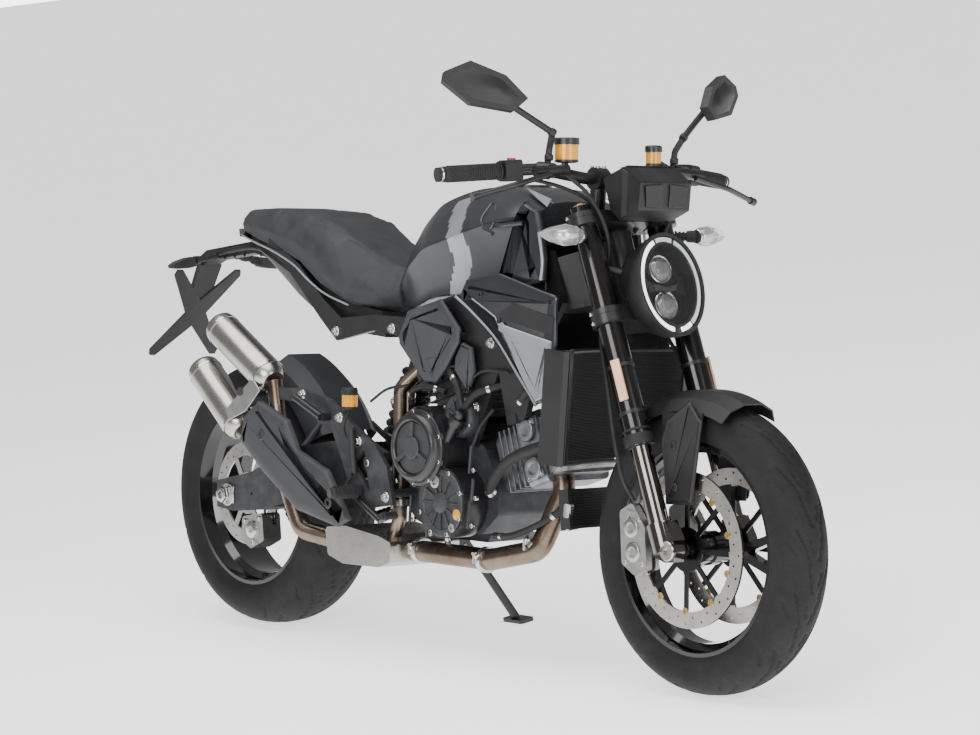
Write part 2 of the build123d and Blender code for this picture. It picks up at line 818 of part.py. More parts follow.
with BuildPart() as heat_shield:
    with BuildSketch(side_plane(-200)) as shield_outline:
        with BuildLine():
            Polyline(
                (128, 452), (147, 511), (202, 548), (312, 507), (350, 441), (463, 402),
                (545, 296), (501, 277), (351, 304), (215, 387), close=True,
            )
        make_face()
        fillet(shield_outline.vertices(), 12)
    extrude(amount=5)
    for x, z in ((225, 470), (480, 320)):
        add(rod((x, -200, z), (x, -176, z), 8))
    add(exhaust_pipes.part, mode=Mode.SUBTRACT)
keep(heat_shield, "heat_shield")

# Rider's footrest hangers, the right one reaching back to the silencers
with BuildPart() as hangers:
    with BuildSketch(side_plane(-158)) as hanger_outline:
        with BuildLine():
            Polyline(
                (664, 336), (640, 420), (600, 465), (518, 506), (436, 558), (322, 580), (120, 575),
                (120, 555), (322, 548), (430, 508), (470, 440), (519, 340), (560, 320),
                close=True,
            )
        make_face()
        with BuildLine():
            Polyline((560, 452), (580, 360), (520, 420), close=True)
        make_face(mode=Mode.SUBTRACT)
    extrude(amount=10)
    with BuildSketch(side_plane(158)):
        with BuildLine():
            Polyline(
                (664, 336), (640, 420), (600, 465), (540, 500), (440, 470), (470, 420), (519, 340),
                (560, 320), close=True,
            )
        make_face()
    extrude(amount=-10)
    for side in (-1, 1):
        add(rod((pivot.X, side * 149, pivot.Z), (pivot.X, side * 158, pivot.Z), 24))
    add(rod((648, -case_half_width - running_gap, 360), (648, -158, 360), 9))
    add(rod((640, chain_plane + chain_half_width + 24.3, 400), (640, 158, 400), 10))
    add(rod((130, -158, 565), (130, -202, 565), 10))
    add(exhaust_pipes.part, mode=Mode.SUBTRACT)
    add(silencers.part, mode=Mode.SUBTRACT)
keep(hangers, "hangers")

with BuildPart() as footpegs:
    for side in (-1, 1):
        add(rod((551, side * 168.3, 359), (540, side * 250, 357), 10))
        # passenger footrest, folded along the hanger
        add(rod((430, side * 168.3, 520), (430, side * 190, 520), 9))
        add(rod((430, side * 190, 520), (330, side * 190, 560), 9))
    # brake pedal and gear lever
    for side in (-1, 1):
        add(rod((551, side * 176, 340), (640, side * 184, 300), 7))
        add(rod((640, side * 184, 300), (700, side * 196, 318), 6))
        add(rod((696, side * 184, 316), (696, side * 226, 318), 7))
    add(heat_shield.part, mode=Mode.SUBTRACT)
    add(hangers.part, mode=Mode.SUBTRACT)
keep(footpegs, "footpegs")

with BuildPart() as rear_brake_cylinder:
    add(rod((540, -181, 400), (528, -181, 500), 9))
    add(rod((527, -168.3, 556), (527, -190, 556), 6))
    add(rod((527, -184, 545), (527, -184, 590), 17))
keep(rear_brake_cylinder, "rear_brake_cylinder")

with BuildPart() as rear_caliper:
    with BuildSketch(side_plane(-118)) as caliper_outline:
        with BuildLine():
            Polyline((26, 262), (104, 276), (112, 210), (60, 188), (20, 206), close=True)
        make_face()
        fillet(caliper_outline.vertices(), 10)
    extrude(amount=-52)
    with BuildSketch(wheel_plane(rear_axle, -(rear_disc_plane + 5))):
        Circle(rear_disc_radius + 5)
    extrude(amount=-10, mode=Mode.SUBTRACT)
keep(rear_caliper, "rear_caliper")

# Front fork
with BuildPart() as yokes:
    for height, thickness in ((top_yoke_height, 26), (lower_yoke_height, 34)):
        with BuildSketch(steer_plane(height)):
            for side in (-1, 1):
                with Locations((fork_offset, side * fork_half_span)):
                    Circle(fork_tube_radius + 8)
            with Locations((0, 0)):
                Circle(30)
            make_hull()
            for side in (-1, 1):
                with Locations((fork_offset, side * fork_half_span)):
                    Circle(fork_tube_radius + running_gap, mode=Mode.SUBTRACT)
        extrude(amount=thickness)
    with BuildSketch(steer_plane(lower_yoke_height)):
        Circle(stem_radius)
    extrude(amount=top_yoke_height - lower_yoke_height + 20)
keep(yokes, "yokes")

with BuildPart() as fork_tubes:
    for side in (-1, 1):
        leg = steer_plane(0).shift_origin(
            steer_plane(0).from_local_coords((fork_offset, side * fork_half_span, 0)))
        with BuildSketch(leg.offset(seal_height)):
            Circle(fork_tube_radius)
        extrude(amount=top_cap_height - seal_height)
        with BuildSketch(leg.offset(seal_height - 4)):
            Circle(fork_tube_radius + 3)
        extrude(amount=30)
        with BuildSketch(leg.offset(seal_height - 4)):
            Circle(slider_radius + running_gap)
        extrude(amount=68, mode=Mode.SUBTRACT)
        with BuildSketch(leg.offset(top_cap_height)):
            Circle(fork_tube_radius - 2)
        extrude(amount=12)
keep(fork_tubes, "fork_tubes")

with BuildPart() as fork_sliders:
    for side in (-1, 1):
        leg = steer_plane(0).shift_origin(
            steer_plane(0).from_local_coords((fork_offset, side * fork_half_span, 0)))
        with BuildSketch(leg.offset(foot_height)):
            Circle(slider_radius)
        extrude(amount=seal_height + 60 - foot_height)
        # foot that clamps the axle, and the caliper's two lugs behind it
        with BuildSketch(leg.offset(foot_height - 34)):
            Circle(fork_tube_radius - 1)
        extrude(amount=60)
        with BuildSketch(wheel_plane(front_axle, side * (fork_half_span + 13))):
            with BuildLine():
                Polyline((-46, 48), (-48, -14), (-10, -24), (14, -22), (24, 0), (14, 22),
                         (-10, 60), close=True)
            make_face()
        extrude(amount=side * 34)
    with BuildSketch(wheel_plane(front_axle)):
        Circle(front_axle_radius + running_gap)
    extrude(amount=200, both=True, mode=Mode.SUBTRACT)
keep(fork_sliders, "fork_sliders")

with BuildPart() as front_axle_bar:
    reach = fork_half_span + 20
    add(rod((wheelbase, -reach, front_axle.Z), (wheelbase, reach, front_axle.Z),
            front_axle_radius))
    with BuildSketch(wheel_plane(front_axle, -(fork_half_span + 13 + running_gap))):
        Circle(18)
    extrude(amount=reach - fork_half_span - 13 - running_gap)
    add(fork_sliders.part, mode=Mode.SUBTRACT)
    add(rod((wheelbase, -reach - 20, front_axle.Z), (wheelbase, reach + 20, front_axle.Z),
            front_axle_bore), mode=Mode.SUBTRACT)
keep(front_axle_bar, "front_axle")

with BuildPart() as front_calipers:
    for side in (-1, 1):
        with BuildSketch(side_plane(side * 88)) as caliper_outline:
            with BuildLine():
                Polyline((1314, 366), (1352, 386), (1390, 338), (1396, 250), (1360, 236),
                         (1322, 258), close=True)
            make_face()
            fillet(caliper_outline.vertices(), 10)
        extrude(amount=side * 37)
        with BuildSketch(wheel_plane(front_axle, side * (disc_plane - 5))):
            Circle(disc_radius + 5)
        extrude(amount=-side * 10, mode=Mode.SUBTRACT)
    add(fork_sliders.part, mode=Mode.SUBTRACT)
keep(front_calipers, "front_calipers")

with BuildPart() as front_fender:
    turn = radians(124)
    with BuildSketch(Plane(front_axle, x_dir=(0, 1, 0), z_dir=(sin(turn), 0, -cos(turn)))):
        with BuildLine():
            Polyline(
                (-76, 280), (-60, 306), (-26, 322), (26, 322), (60, 306), (76, 280),
                (73, 279), (58, 303), (25, 318.5), (-25, 318.5), (-58, 303), (-73, 279),
                close=True,
            )
        make_face()
    revolve(axis=Axis(front_axle, (0, 1, 0)), revolution_arc=56)
    # stays down beside the wheel
    for side in (-1, 1):
        with BuildSketch(side_plane(side * 74.5)):
            with BuildLine():
                Polyline((1442, 388), (1516, 392), (1546, 578), (1428, 574), close=True)
            make_face()
        extrude(amount=-side * 4)
keep(front_fender, "front_fender")

# Headlight: an oval housing leaning back, with its lens as a separate glass
light_normal = Vector(cos(radians(light_tilt)), 0, sin(radians(light_tilt)))
light_plane = Plane(light_centre, x_dir=(0, 1, 0), z_dir=light_normal)
with BuildPart() as headlight:
    with BuildSketch(light_plane.offset(-6)):
        Ellipse(light_half_width, light_half_height)
    with BuildSketch(light_plane.offset(-50)):
        Ellipse(light_half_width - 8, light_half_height - 10)
    with BuildSketch(light_plane.offset(-96)):
        with Locations((0, 16)):
            Ellipse(light_half_width - 34, light_half_height - 44)
    loft()
    with BuildSketch(light_plane.offset(-6)):
        Ellipse(light_half_width, light_half_height)
        Ellipse(light_half_width - 5, light_half_height - 5, mode=Mode.SUBTRACT)
    extrude(amount=6)
    with BuildSketch(light_plane.offset(-44)):
        Ellipse(light_half_width - 22, light_half_height - 24)
    extrude(amount=50, mode=Mode.SUBTRACT)
    for up in (-38, 38):
        with BuildSketch(light_plane.offset(-44)):
            with Locations((0, up)):
                Circle(30)
        extrude(amount=16)
    for side in (-1, 1):
        add(rod((1300, side * 40, 850), (1262, side * 76, 862), 8))
    add(yokes.part, mode=Mode.SUBTRACT)
    add(fork_tubes.part, mode=Mode.SUBTRACT)
    # room for the steering head behind it
    with BuildSketch(steer_plane(lower_yoke_height)):
        Circle(38)
    extrude(amount=top_yoke_height - lower_yoke_height, mode=Mode.SUBTRACT)
keep(headlight, "headlight")

with BuildPart() as headlight_lens:
    with BuildSketch(light_plane.offset(-6 + running_gap)):
        Ellipse(light_half_width - 5 - running_gap, light_half_height - 5 - running_gap)
    extrude(amount=4)
keep(headlight_lens, "headlight_lens")

with BuildPart() as dash:
    with BuildSketch(side_plane(-72)) as dash_outline:
        with BuildLine():
            Polyline(
                (1238, 1050), (1303, 1074), (1352, 1042), (1346, 984), (1292, 962), (1262, 984),
                close=True,
            )
        make_face()
        fillet(dash_outline.vertices(), 5)
    extrude(amount=-144)
    add(rod((1206, 0, 972), (1275, 0, 1000), 14))
    add(headlight.part, mode=Mode.SUBTRACT)
    add(yokes.part, mode=Mode.SUBTRACT)
keep(dash, "dash")

# Handlebar and what it carries
bar_points = (
    (1107, -bar_half_width, 1053), (1172, -190, 1068), (1192, -80, 1050),
    (1192, 80, 1050), (1172, 190, 1068), (1107, bar_half_width, 1053),
)
with BuildPart() as handlebar:
    add(bent_tube(bar_points, 60, bar_radius))
    for side in (-1, 1):
        add(rod((1186, side * 42, 964), (1192, side * 42, 1050), 17))
        add(rod((1192, side * 28, 1050), (1192, side * 58, 1050), 24))
    add(yokes.part, mode=Mode.SUBTRACT)
keep(handlebar, "handlebar")

grip_run = (Vector(*bar_points[5]) - Vector(*bar_points[4])).normalized()
with BuildPart() as grips:
    for side in (-1, 1):
        outward = Vector(grip_run.X, side * grip_run.Y, grip_run.Z)
        end = Vector(1107, side * bar_half_width, 1053)
        add(rod(end - outward * 132, end - outward * 8, 16.5))
        add(rod(end - outward * 7.7, end + outward * 8, 15))
        # switchgear
        with BuildSketch(Plane(end - outward * 176, x_dir=(1, 0, 0), z_dir=outward)):
            RectangleRounded(42, 44, 8)
        extrude(amount=38)
    add(handlebar.part, mode=Mode.SUBTRACT)
keep(grips, "grips")

with BuildPart() as levers:
    for side in (-1, 1):
        add(rod((1170, side * 188, 1068), (1212, side * 188, 1064), 16))
        add(rod((1212, side * 148, 1067), (1212, side * 236, 1061), 11))
        add(bent_tube(
            ((1226, side * 206, 1056), (1230, side * 300, 1034), (1209, side * 392, 1009)), 60, 6))
        add(rod((1210, side * 386, 1011), (1208, side * 400, 1007), 8.5))
    add(handlebar.part, mode=Mode.SUBTRACT)
    # fluid reservoirs
    add(rod((1196, -136, 1084), (1196, -136, 1130), 24))
    add(rod((1196, -136, 1122), (1196, -136, 1133), 26))
    add(rod((1213, -160, 1067), (1197, -140, 1094), 6))
    add(rod((1180, 125, 1082), (1180, 125, 1118), 16))
    add(rod((1180, 125, 1112), (1180, 125, 1121), 18))
    add(rod((1211, 160, 1067), (1182, 128, 1092), 6))
keep(levers, "levers")

with BuildPart() as mirrors:
    for side in (-1, 1):
        outward = Vector(-37, side * 75, 34).normalized()
        backward = (Vector(-1, 0, 0) - outward * Vector(-1, 0, 0).dot(outward)).normalized()
        head = Plane(Vector(1156, side * 329, 1224), x_dir=outward, z_dir=backward)
        with BuildSketch(head):
            with BuildLine():
                Polyline(
                    (-90, side * -18), (-70, side * 20), (20, side * 42), (88, side * 22),
                    (92, 0), (50, side * -42), (-30, side * -44), close=True,
                )
            make_face()
        extrude(amount=-20)
        add(bent_tube(
            ((1182, side * 178, 1068), (1190, side * 178, 1112), (1208, side * 186, 1142),
             (1166, side * 300, 1214)), 18, 7))
    add(levers.part, mode=Mode.SUBTRACT)
    add(handlebar.part, mode=Mode.SUBTRACT)
keep(mirrors, "mirrors")

with BuildPart() as turn_signals:
    for side in (-1, 1):
        add(rod((1236, side * 128, 931), (1268, side * 168, 931), 9))
        add(cone((1268, side * 162, 931), (1256, side * 268, 934), 22, 8))
    add(fork_tubes.part, mode=Mode.SUBTRACT)
keep(turn_signals, "turn_signals")

# Side stand, swung down; its foot lies flat on the ground the machine leans over
ground_normal = Vector(0, -sin(radians(lean)), cos(radians(lean)))
leg_top = stand_pivot + stand_axis * 6
leg_length = (leg_top.dot(ground_normal) + tyre_sink) / -stand_down.dot(ground_normal)
stand_foot = leg_top + stand_down * leg_length
with BuildPart() as side_stand:
    with BuildSketch(stand_plane.offset(running_gap)):
        Circle(18)
        with Locations((36, 0)):
            Circle(11)
        make_hull()
        Circle(stand_bolt_radius + pin_gap, mode=Mode.SUBTRACT)
    extrude(amount=12)
    add(rod(leg_top + stand_down * 30, stand_foot - stand_down * 8, 10))
    with BuildSketch(Plane(stand_foot, x_dir=(1, 0, 0), z_dir=ground_normal)):
        RectangleRounded(72, 42, 10)
    extrude(amount=8)
    # nothing of the foot reaches below the ground
    with BuildSketch(Plane(stand_foot, x_dir=(1, 0, 0), z_dir=ground_normal)):
        Rectangle(200, 200)
    extrude(amount=-40, mode=Mode.SUBTRACT)
keep(side_stand, "side_stand")


# Park it: lean every piece onto the stand and put the origin under the middle of its box
for piece in pieces:
    label = piece.part.label
    piece.part = piece.part.rotate(Axis.X, -lean)
    piece.part.label = label
box = Compound(children=[Compound(piece.part.wrapped) for piece in pieces]).bounding_box()
parked = Location((-box.center().X, -box.center().Y, -box.min.Z))
for piece in pieces:
    export_step(piece.part.moved(parked), f"parts/{piece.part.label}.step")
print("origin of the upright machine:", parked.position)
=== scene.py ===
# Looks for the naked road motorcycle: materials, fine detail, light and camera.
import json
import math
import random

import bmesh
import bpy
from mathutils import Matrix, Vector


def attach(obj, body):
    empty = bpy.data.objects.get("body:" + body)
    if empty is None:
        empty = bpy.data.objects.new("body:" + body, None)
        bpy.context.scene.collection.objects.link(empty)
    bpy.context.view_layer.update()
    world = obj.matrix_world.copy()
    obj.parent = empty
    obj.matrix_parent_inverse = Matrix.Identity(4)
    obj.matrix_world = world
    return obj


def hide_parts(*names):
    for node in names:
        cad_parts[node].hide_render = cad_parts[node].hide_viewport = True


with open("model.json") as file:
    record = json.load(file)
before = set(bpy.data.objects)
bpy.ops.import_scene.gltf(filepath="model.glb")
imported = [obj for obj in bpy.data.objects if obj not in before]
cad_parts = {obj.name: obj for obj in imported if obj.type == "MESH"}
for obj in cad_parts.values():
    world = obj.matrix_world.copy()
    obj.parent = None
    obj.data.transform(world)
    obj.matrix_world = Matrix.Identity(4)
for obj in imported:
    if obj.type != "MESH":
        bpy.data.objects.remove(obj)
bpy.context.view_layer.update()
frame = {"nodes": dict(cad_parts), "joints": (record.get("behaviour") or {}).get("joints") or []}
nodes = frame["nodes"]
random.seed(7)

# The machine is drawn upright in millimetres, X forward and Y to its left, as in part.py.
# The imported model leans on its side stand, so every piece made here goes through machineMatrix.
machine = {
    "lean": 10.0,
    "rake": 21.0,
    "rearAxle": (0, 0, 314),
    "frontAxle": (1492, 0, 299),
    "crank": (800, 0, 400),
}
leanTurn = Matrix.Rotation(-math.radians(machine["lean"]), 4, "X")
rearJoint = next(j for j in frame["joints"] if j["name"] == "rear_wheel_spin")
machineShift = Vector(rearJoint["pos_m"]) - leanTurn @ (Vector(machine["rearAxle"]) / 1000)
machineMatrix = Matrix.Translation(machineShift) @ leanTurn
uprightMatrix = machineMatrix.inverted()
rearAxle, frontAxle, crank = (Vector(machine[k]) for k in ("rearAxle", "frontAxle", "crank"))
rake = math.radians(machine["rake"])
steerUp = Vector((-math.sin(rake), 0, math.cos(rake)))
steerAhead = Vector((math.cos(rake), 0, math.sin(rake)))

# Camera at the photograph's angle, solved on the wheels, in upright millimetres
cameraSettings = {
    "place": (5907.7, -4315.8, 918.6),
    "yaw": 139.5654,
    "pitch": -2.4495,
    "roll": 0.3868,
    "lens": 111.70,
    "shift": (-0.01474, 0.0039),
}


def makeCamera(settings):
    yaw, pitch, roll = (math.radians(settings[k]) for k in ("yaw", "pitch", "roll"))
    ahead = Vector((math.cos(pitch) * math.cos(yaw), math.cos(pitch) * math.sin(yaw), math.sin(pitch)))
    level = ahead.cross(Vector((0, 0, 1))).normalized()
    above = level.cross(ahead)
    right = level * math.cos(roll) + above * math.sin(roll)
    up = above * math.cos(roll) - level * math.sin(roll)
    data = bpy.data.cameras.new("photoCamera")
    data.sensor_width = 36
    data.lens = settings["lens"]
    data.shift_x, data.shift_y = settings["shift"]
    data.clip_end = 100
    camera = bpy.data.objects.new("photoCamera", data)
    bpy.context.scene.collection.objects.link(camera)
    turn = Matrix((right, up, -ahead)).transposed().to_4x4()
    camera.matrix_world = machineMatrix @ Matrix.Translation(Vector(settings["place"]) / 1000) @ turn
    bpy.context.scene.camera = camera


makeCamera(cameraSettings)
print("camera made")


def hexColor(text):  # sRGB hex to the linear colour that the shader sockets take
    parts = [int(text[i:i + 2], 16) / 255 for i in (1, 3, 5)]
    return tuple(p / 12.92 if p <= 0.04045 else ((p + 0.055) / 1.055) ** 2.4 for p in parts) + (1,)


def addNode(tree, kind, inputs=None, **settings):  # a node with its settings and links
    node = tree.nodes.new(kind)
    for key, value in settings.items():
        setattr(node, key, value)
    for key, value in (inputs or {}).items():
        if isinstance(value, bpy.types.NodeSocket):
            tree.links.new(value, node.inputs[key])
        else:
            node.inputs[key].default_value = value
    return node


def newMaterial(name, **surface):  # values that are the same all over go on the shader's own sockets
    material = bpy.data.materials.new(name)
    material.use_nodes = True
    shader = material.node_tree.nodes["Principled BSDF"]
    for key, value in surface.items():
        shader.inputs[key.replace("_", " ")].default_value = value
    material.diffuse_color = surface.get("Base_Color", (0.5, 0.5, 0.5, 1))
    return material, material.node_tree, shader


def toneOf(color, gain, lift=0.0):
    return tuple(min(1, c * gain + lift) for c in color[:3]) + (1,)


# Every finish is a slow change of tone, a change of gloss and a fine relief. Sizes are in
# millimetres: patch is the width of a tone patch, grain the width of one grain or streak.
# Relief finer than about 0.8 mm is drawn at 0.8 mm or more, because it wouldn't show otherwise.
def finish(name, color, rough, grain, depth, patch=60.0, spread=0.2, second=None, amount=1.0,
           cells=False, **surface):
    base = hexColor(color)
    other = hexColor(second) if second else toneOf(base, 1.3, 0.004)
    material, tree, shader = newMaterial(name, Base_Color=base, **surface)
    place = addNode(tree, "ShaderNodeTexCoord").outputs["Object"]
    grainSize = grain if isinstance(grain, tuple) else (grain,) * 3
    widePoint = addNode(tree, "ShaderNodeMapping", {0: place, 3: (1000 / patch,) * 3}).outputs[0]
    finePoint = addNode(tree, "ShaderNodeMapping", {
        0: place, 3: tuple(1000 / g for g in grainSize)}).outputs[0]
    wide = addNode(tree, "ShaderNodeTexNoise", {
        "Vector": widePoint, "Scale": 1.0, "Detail": 5.0, "Roughness": 0.6}).outputs[0]
    if cells:
        fine = addNode(tree, "ShaderNodeTexVoronoi", {
            "Vector": finePoint, "Scale": 1.0}, feature="SMOOTH_F1").outputs["Distance"]
    else:
        fine = addNode(tree, "ShaderNodeTexNoise", {
            "Vector": finePoint, "Scale": 1.0, "Detail": 3.0, "Roughness": 0.5}).outputs[0]
    share = addNode(tree, "ShaderNodeMapRange", {0: wide, 1: 0.38, 2: 0.68, 3: 0.0, 4: amount}).outputs[0]
    tone = addNode(tree, "ShaderNodeMix", {0: share, 6: base, 7: other}, data_type="RGBA").outputs[2]
    tree.links.new(tone, shader.inputs["Base Color"])
    gloss = addNode(tree, "ShaderNodeMapRange", {
        0: wide if cells else fine, 1: 0.3, 2: 0.7,
        3: rough * (1 - spread), 4: min(1.0, rough * (1 + spread))}).outputs[0]
    tree.links.new(gloss, shader.inputs["Roughness"])
    relief = addNode(tree, "ShaderNodeBump", {
        "Strength": 0.5, "Distance": depth / 1000, "Height": fine}).outputs[0]
    tree.links.new(relief, shader.inputs["Normal"])
    return material


looks = {
    # Powder-coated steel, baked: an even satin black with faint orange peel.
    "framePaint": finish("powderCoatedSteel", "#101012", 0.4, 1.6, 0.04, Coat_Weight=0.15),
    # Die-cast aluminium, painted: dull dark grey, fine pitting from the mould.
    "casePaint": finish("paintedDieCasting", "#343538", 0.5, 1.3, 0.12, 35, second="#47484b",
                        Metallic=0.45),
    # Magnesium cover, painted black: smooth, a little satin, soft highlights on its rims.
    "coverPaint": finish("blackCastCover", "#161618", 0.36, 1.2, 0.05, Coat_Weight=0.2),
    # Sand-cast aluminium, bare: silver grey, coarse grain, darker in random patches.
    "castAluminium": finish("sandCastAluminium", "#8d8f92", 0.42, 1.3, 0.14, 30, second="#6b6d70",
                            Metallic=0.9),
    # Aluminium fins, painted: black, dry and matt.
    "finBlack": finish("paintedFins", "#111113", 0.55, 1.0, 0.04),
    # ABS, moulded with a fine grain: dark, dry, a soft wide highlight.
    "plasticBlack": finish("mouldedAbsBlack", "#0f0f11", 0.52, 0.9, 0.08, 80, cells=True),
    # Polypropylene, moulded with a coarse leather grain: flat dark grey.
    "plasticGrey": finish("mouldedPolypropyleneGrey", "#2d2e31", 0.6, 1.6, 0.16, 80, cells=True),
    # Steel tank, sprayed in satin metallic grey: deep grey with a metal glint under thin lacquer.
    "tankPaint": finish("satinMetallicPaint", "#2c2e31", 0.3, 0.8, 0.02, 120, second="#34363a",
                        Metallic=0.4, Coat_Weight=0.25, Coat_Roughness=0.25),
    # The same paint in pale grey, as on the knee strips and the triangles.
    "panelPaint": finish("palePanelPaint", "#8f9297", 0.36, 0.8, 0.02, 120, second="#9da0a5",
                         Metallic=0.55, Coat_Weight=0.15, Coat_Roughness=0.3),
    # Vinyl, embossed: matt charcoal with a fine leather grain.
    "seatVinyl": finish("embossedVinyl", "#28292b", 0.66, 1.1, 0.16, 70, cells=True,
                        Specular_IOR_Level=0.4),
    # Woven wire behind the tank's intakes: black, open, faintly ridged.
    "intakeMesh": finish("wovenWireBlack", "#0c0c0d", 0.6, 2.4, 0.6, 20, cells=True),
    # Die-cast clutch plate, painted dark grey over a fine cast grain.
    "clutchGrey": finish("castClutchPlate", "#3b3c3e", 0.48, 1.1, 0.1, 25, Metallic=0.5),
    # Gloss black lacquer on alloy: mirror-like black.
    "rimLacquer": finish("glossBlackLacquer", "#0a0a0b", 0.12, 1.6, 0.01, Coat_Weight=0.8,
                         Coat_Roughness=0.05),
    # Steel fork tube, anodised and polished: near-black with a brown cast and a long highlight.
    "forkAnodised": finish("anodisedForkTube", "#151211", 0.2, (1.0, 1.0, 60), 0.01, Metallic=0.6,
                           Coat_Weight=0.6, Coat_Roughness=0.08),
    # Chain steel, pressed and oiled: grey, uneven gloss.
    "chainSteel": finish("oiledChainSteel", "#6f6d68", 0.4, 2.0, 0.05, 20, second="#4a4843", Metallic=1.0),
    # Stainless steel, brushed lengthways: pale, fine streaks, long soft highlights.
    "stainless": finish("brushedStainless", "#bfbcb5", 0.27, (40, 0.8, 0.8), 0.03, 90, second="#a9a69f",
                        Metallic=1.0),
    # Stainless steel, bright and ground: disc faces, bolts and axle ends.
    "brightSteel": finish("groundSteel", "#d2d1cd", 0.2, 0.8, 0.02, 50, second="#bdbcb8", Metallic=1.0),
    # Stainless header, coloured by heat: brown and bronze patches over grey.
    "heatedSteel": finish("heatColouredStainless", "#85796d", 0.3, 1.4, 0.04, 120, second="#5c4a3d",
                          Metallic=1.0),
    # Hard chrome on a ground tube: almost a mirror, its colour toned down to a painted dark reflection
    # because the studio is evenly lit.
    "chrome": finish("hardChromePaintedReflection", "#77746f", 0.09, (0.8, 0.8, 40), 0.005, 60, second="#6b6864",
                     Metallic=1.0),
    # Tyre rubber, moulded: matt black with a dusty bloom.
    "tyreRubber": finish("mouldedTyreRubber", "#101011", 0.74, 1.4, 0.1, 45, Specular_IOR_Level=0.35),
    # Rubber grip and hose: matt black, smooth to the touch.
    "softRubber": finish("mouldedRubber", "#141415", 0.62, 1.2, 0.06, 40, Specular_IOR_Level=0.4),
    # Forged aluminium, anodised: pale silver, fine grain.
    "caliperMetal": finish("anodisedForging", "#b0b0ae", 0.32, 0.9, 0.05, 40, second="#9a9a98",
                           Metallic=0.95),
    # Anodised bobbins and fluid lids.
    "goldAnodised": finish("goldAnodised", "#a8905c", 0.3, 0.9, 0.02, 20, Metallic=1.0),
    # Brake fluid in a clear bottle: amber all through.
    "amberFluid": finish("amberBottle", "#d08a12", 0.15, 3.0, 0.02, 20, second="#e3a21c", Coat_Weight=0.6),
    # Pale orange reflector, moulded with fine prisms.
    "reflector": finish("prismReflector", "#c58f62", 0.18, 1.4, 0.25, 30, second="#dba97c", cells=True,
                        Coat_Weight=0.8),
    # Red button, glossy ABS.
    "redButton": finish("glossyAbsRed", "#a3161a", 0.25, 2.0, 0.01, 30),
    # Dark tail lens and instrument glass.
    "smokedLens": finish("smokedAcrylic", "#1c0809", 0.1, 6.0, 0.02, 30, Coat_Weight=1.0),
    "screenGlass": finish("instrumentGlass", "#07090b", 0.06, 8.0, 0.01, 30, Coat_Weight=1.0),
    # Mirror silver behind glass.
    "mirrorGlass": finish("silveredGlass", "#d9dde0", 0.03, 12.0, 0.002, 80, Metallic=1.0),
    # Clear acrylic lamps: bright edges, ripples from the mould.
    "lampClear": finish("clearAcrylic", "#f2f4f5", 0.1, 9.0, 0.05, 40, Transmission_Weight=0.85, IOR=1.49),
    "lensGlass": finish("clearPolycarbonate", "#fbfcfd", 0.03, 12.0, 0.01, 60, Transmission_Weight=1.0,
                        IOR=1.49),
    # White diodes behind a milky bar.
    "ledWhite": finish("litDiffuser", "#ffffff", 0.4, 4.0, 0.02, 20, Emission_Color=(1, 1, 1, 1),
                       Emission_Strength=2.2),
    "ledDim": finish("dimDiffuser", "#d8dade", 0.4, 4.0, 0.02, 20, Emission_Color=(1, 1, 1, 1),
                     Emission_Strength=0.35),
}


# Inside this ring each front disc is its dark anodised carrier, outside it the bright band
discRing = {"radius": 0.1225, "carrier": "#3a3b3d"}


def darkenCarrier(material, settings):
    tree = material.node_tree
    shader = tree.nodes["Principled BSDF"]
    axle = machineMatrix @ (frontAxle / 1000)
    place = addNode(tree, "ShaderNodeTexCoord").outputs["Object"]
    reach = addNode(tree, "ShaderNodeVectorMath", {0: place, 1: axle}, operation="SUBTRACT").outputs[0]
    flat = addNode(tree, "ShaderNodeVectorRotate",
                   {"Vector": reach, "Angle": math.radians(machine["lean"])},
                   rotation_type="X_AXIS").outputs[0]
    plane = addNode(tree, "ShaderNodeVectorMath", {0: flat, 1: (1, 0, 1)}, operation="MULTIPLY").outputs[0]
    away = addNode(tree, "ShaderNodeVectorMath", {0: plane}, operation="LENGTH").outputs["Value"]
    bright = addNode(tree, "ShaderNodeMath", {0: away, 1: settings["radius"]},
                     operation="GREATER_THAN").outputs[0]
    band = shader.inputs["Base Color"].links[0].from_socket
    both = addNode(tree, "ShaderNodeMix", {0: bright, 6: hexColor(settings["carrier"]), 7: band},
                   data_type="RGBA")
    tree.links.new(both.outputs[2], shader.inputs["Base Color"])


# Front disc: ground steel band on a dark anodised carrier.
looks["discSteel"] = finish("groundDiscSteel", "#cfccc4", 0.22, 0.8, 0.02, 50, second="#bab7af",
                            Metallic=1.0)
darkenCarrier(looks["discSteel"], discRing)

nodeLooks = {
    "framePaint": ("frame", "footpegs", "handlebar", "levers", "side_stand", "yokes", "shock"),
    "casePaint": ("crankcase", "swingarm", "hangers"),
    "coverPaint": ("engine_covers", "clutch_cover", "fuel_cap"),
    "castAluminium": ("front_cylinder",),
    "finBlack": ("radiator",),
    "plasticBlack": ("radiator_sides", "tail", "plate_holder", "rear_brake_cylinder", "front_fender",
                     "headlight", "dash", "mirrors", "side_panels"),
    "plasticGrey": ("side_plates", "hugger", "heat_shield"),
    "tankPaint": ("fuel_tank",),
    "seatVinyl": ("seat",),
    "chainSteel": ("chain", "rear_sprocket"),
    "stainless": ("rear_axle", "collector", "silencers", "front_axle"),
    "heatedSteel": ("exhaust_pipes",),
    "forkAnodised": ("fork_tubes",),
    "chrome": ("fork_sliders",),
    "caliperMetal": ("rear_caliper", "front_calipers"),
    "lensGlass": ("headlight_lens",),
    "lampClear": ("turn_signals",),
    "tyreRubber": ("front_tyre", "rear_tyre"),
    "rimLacquer": ("front_rim", "rear_rim"),
    "discSteel": ("front_discs",),
    "brightSteel": ("rear_disc",),
    "softRubber": ("grips",),
}
for lookName, names in nodeLooks.items():
    for name in names:
        nodes[name].data.materials.clear()
        nodes[name].data.materials.append(looks[lookName])
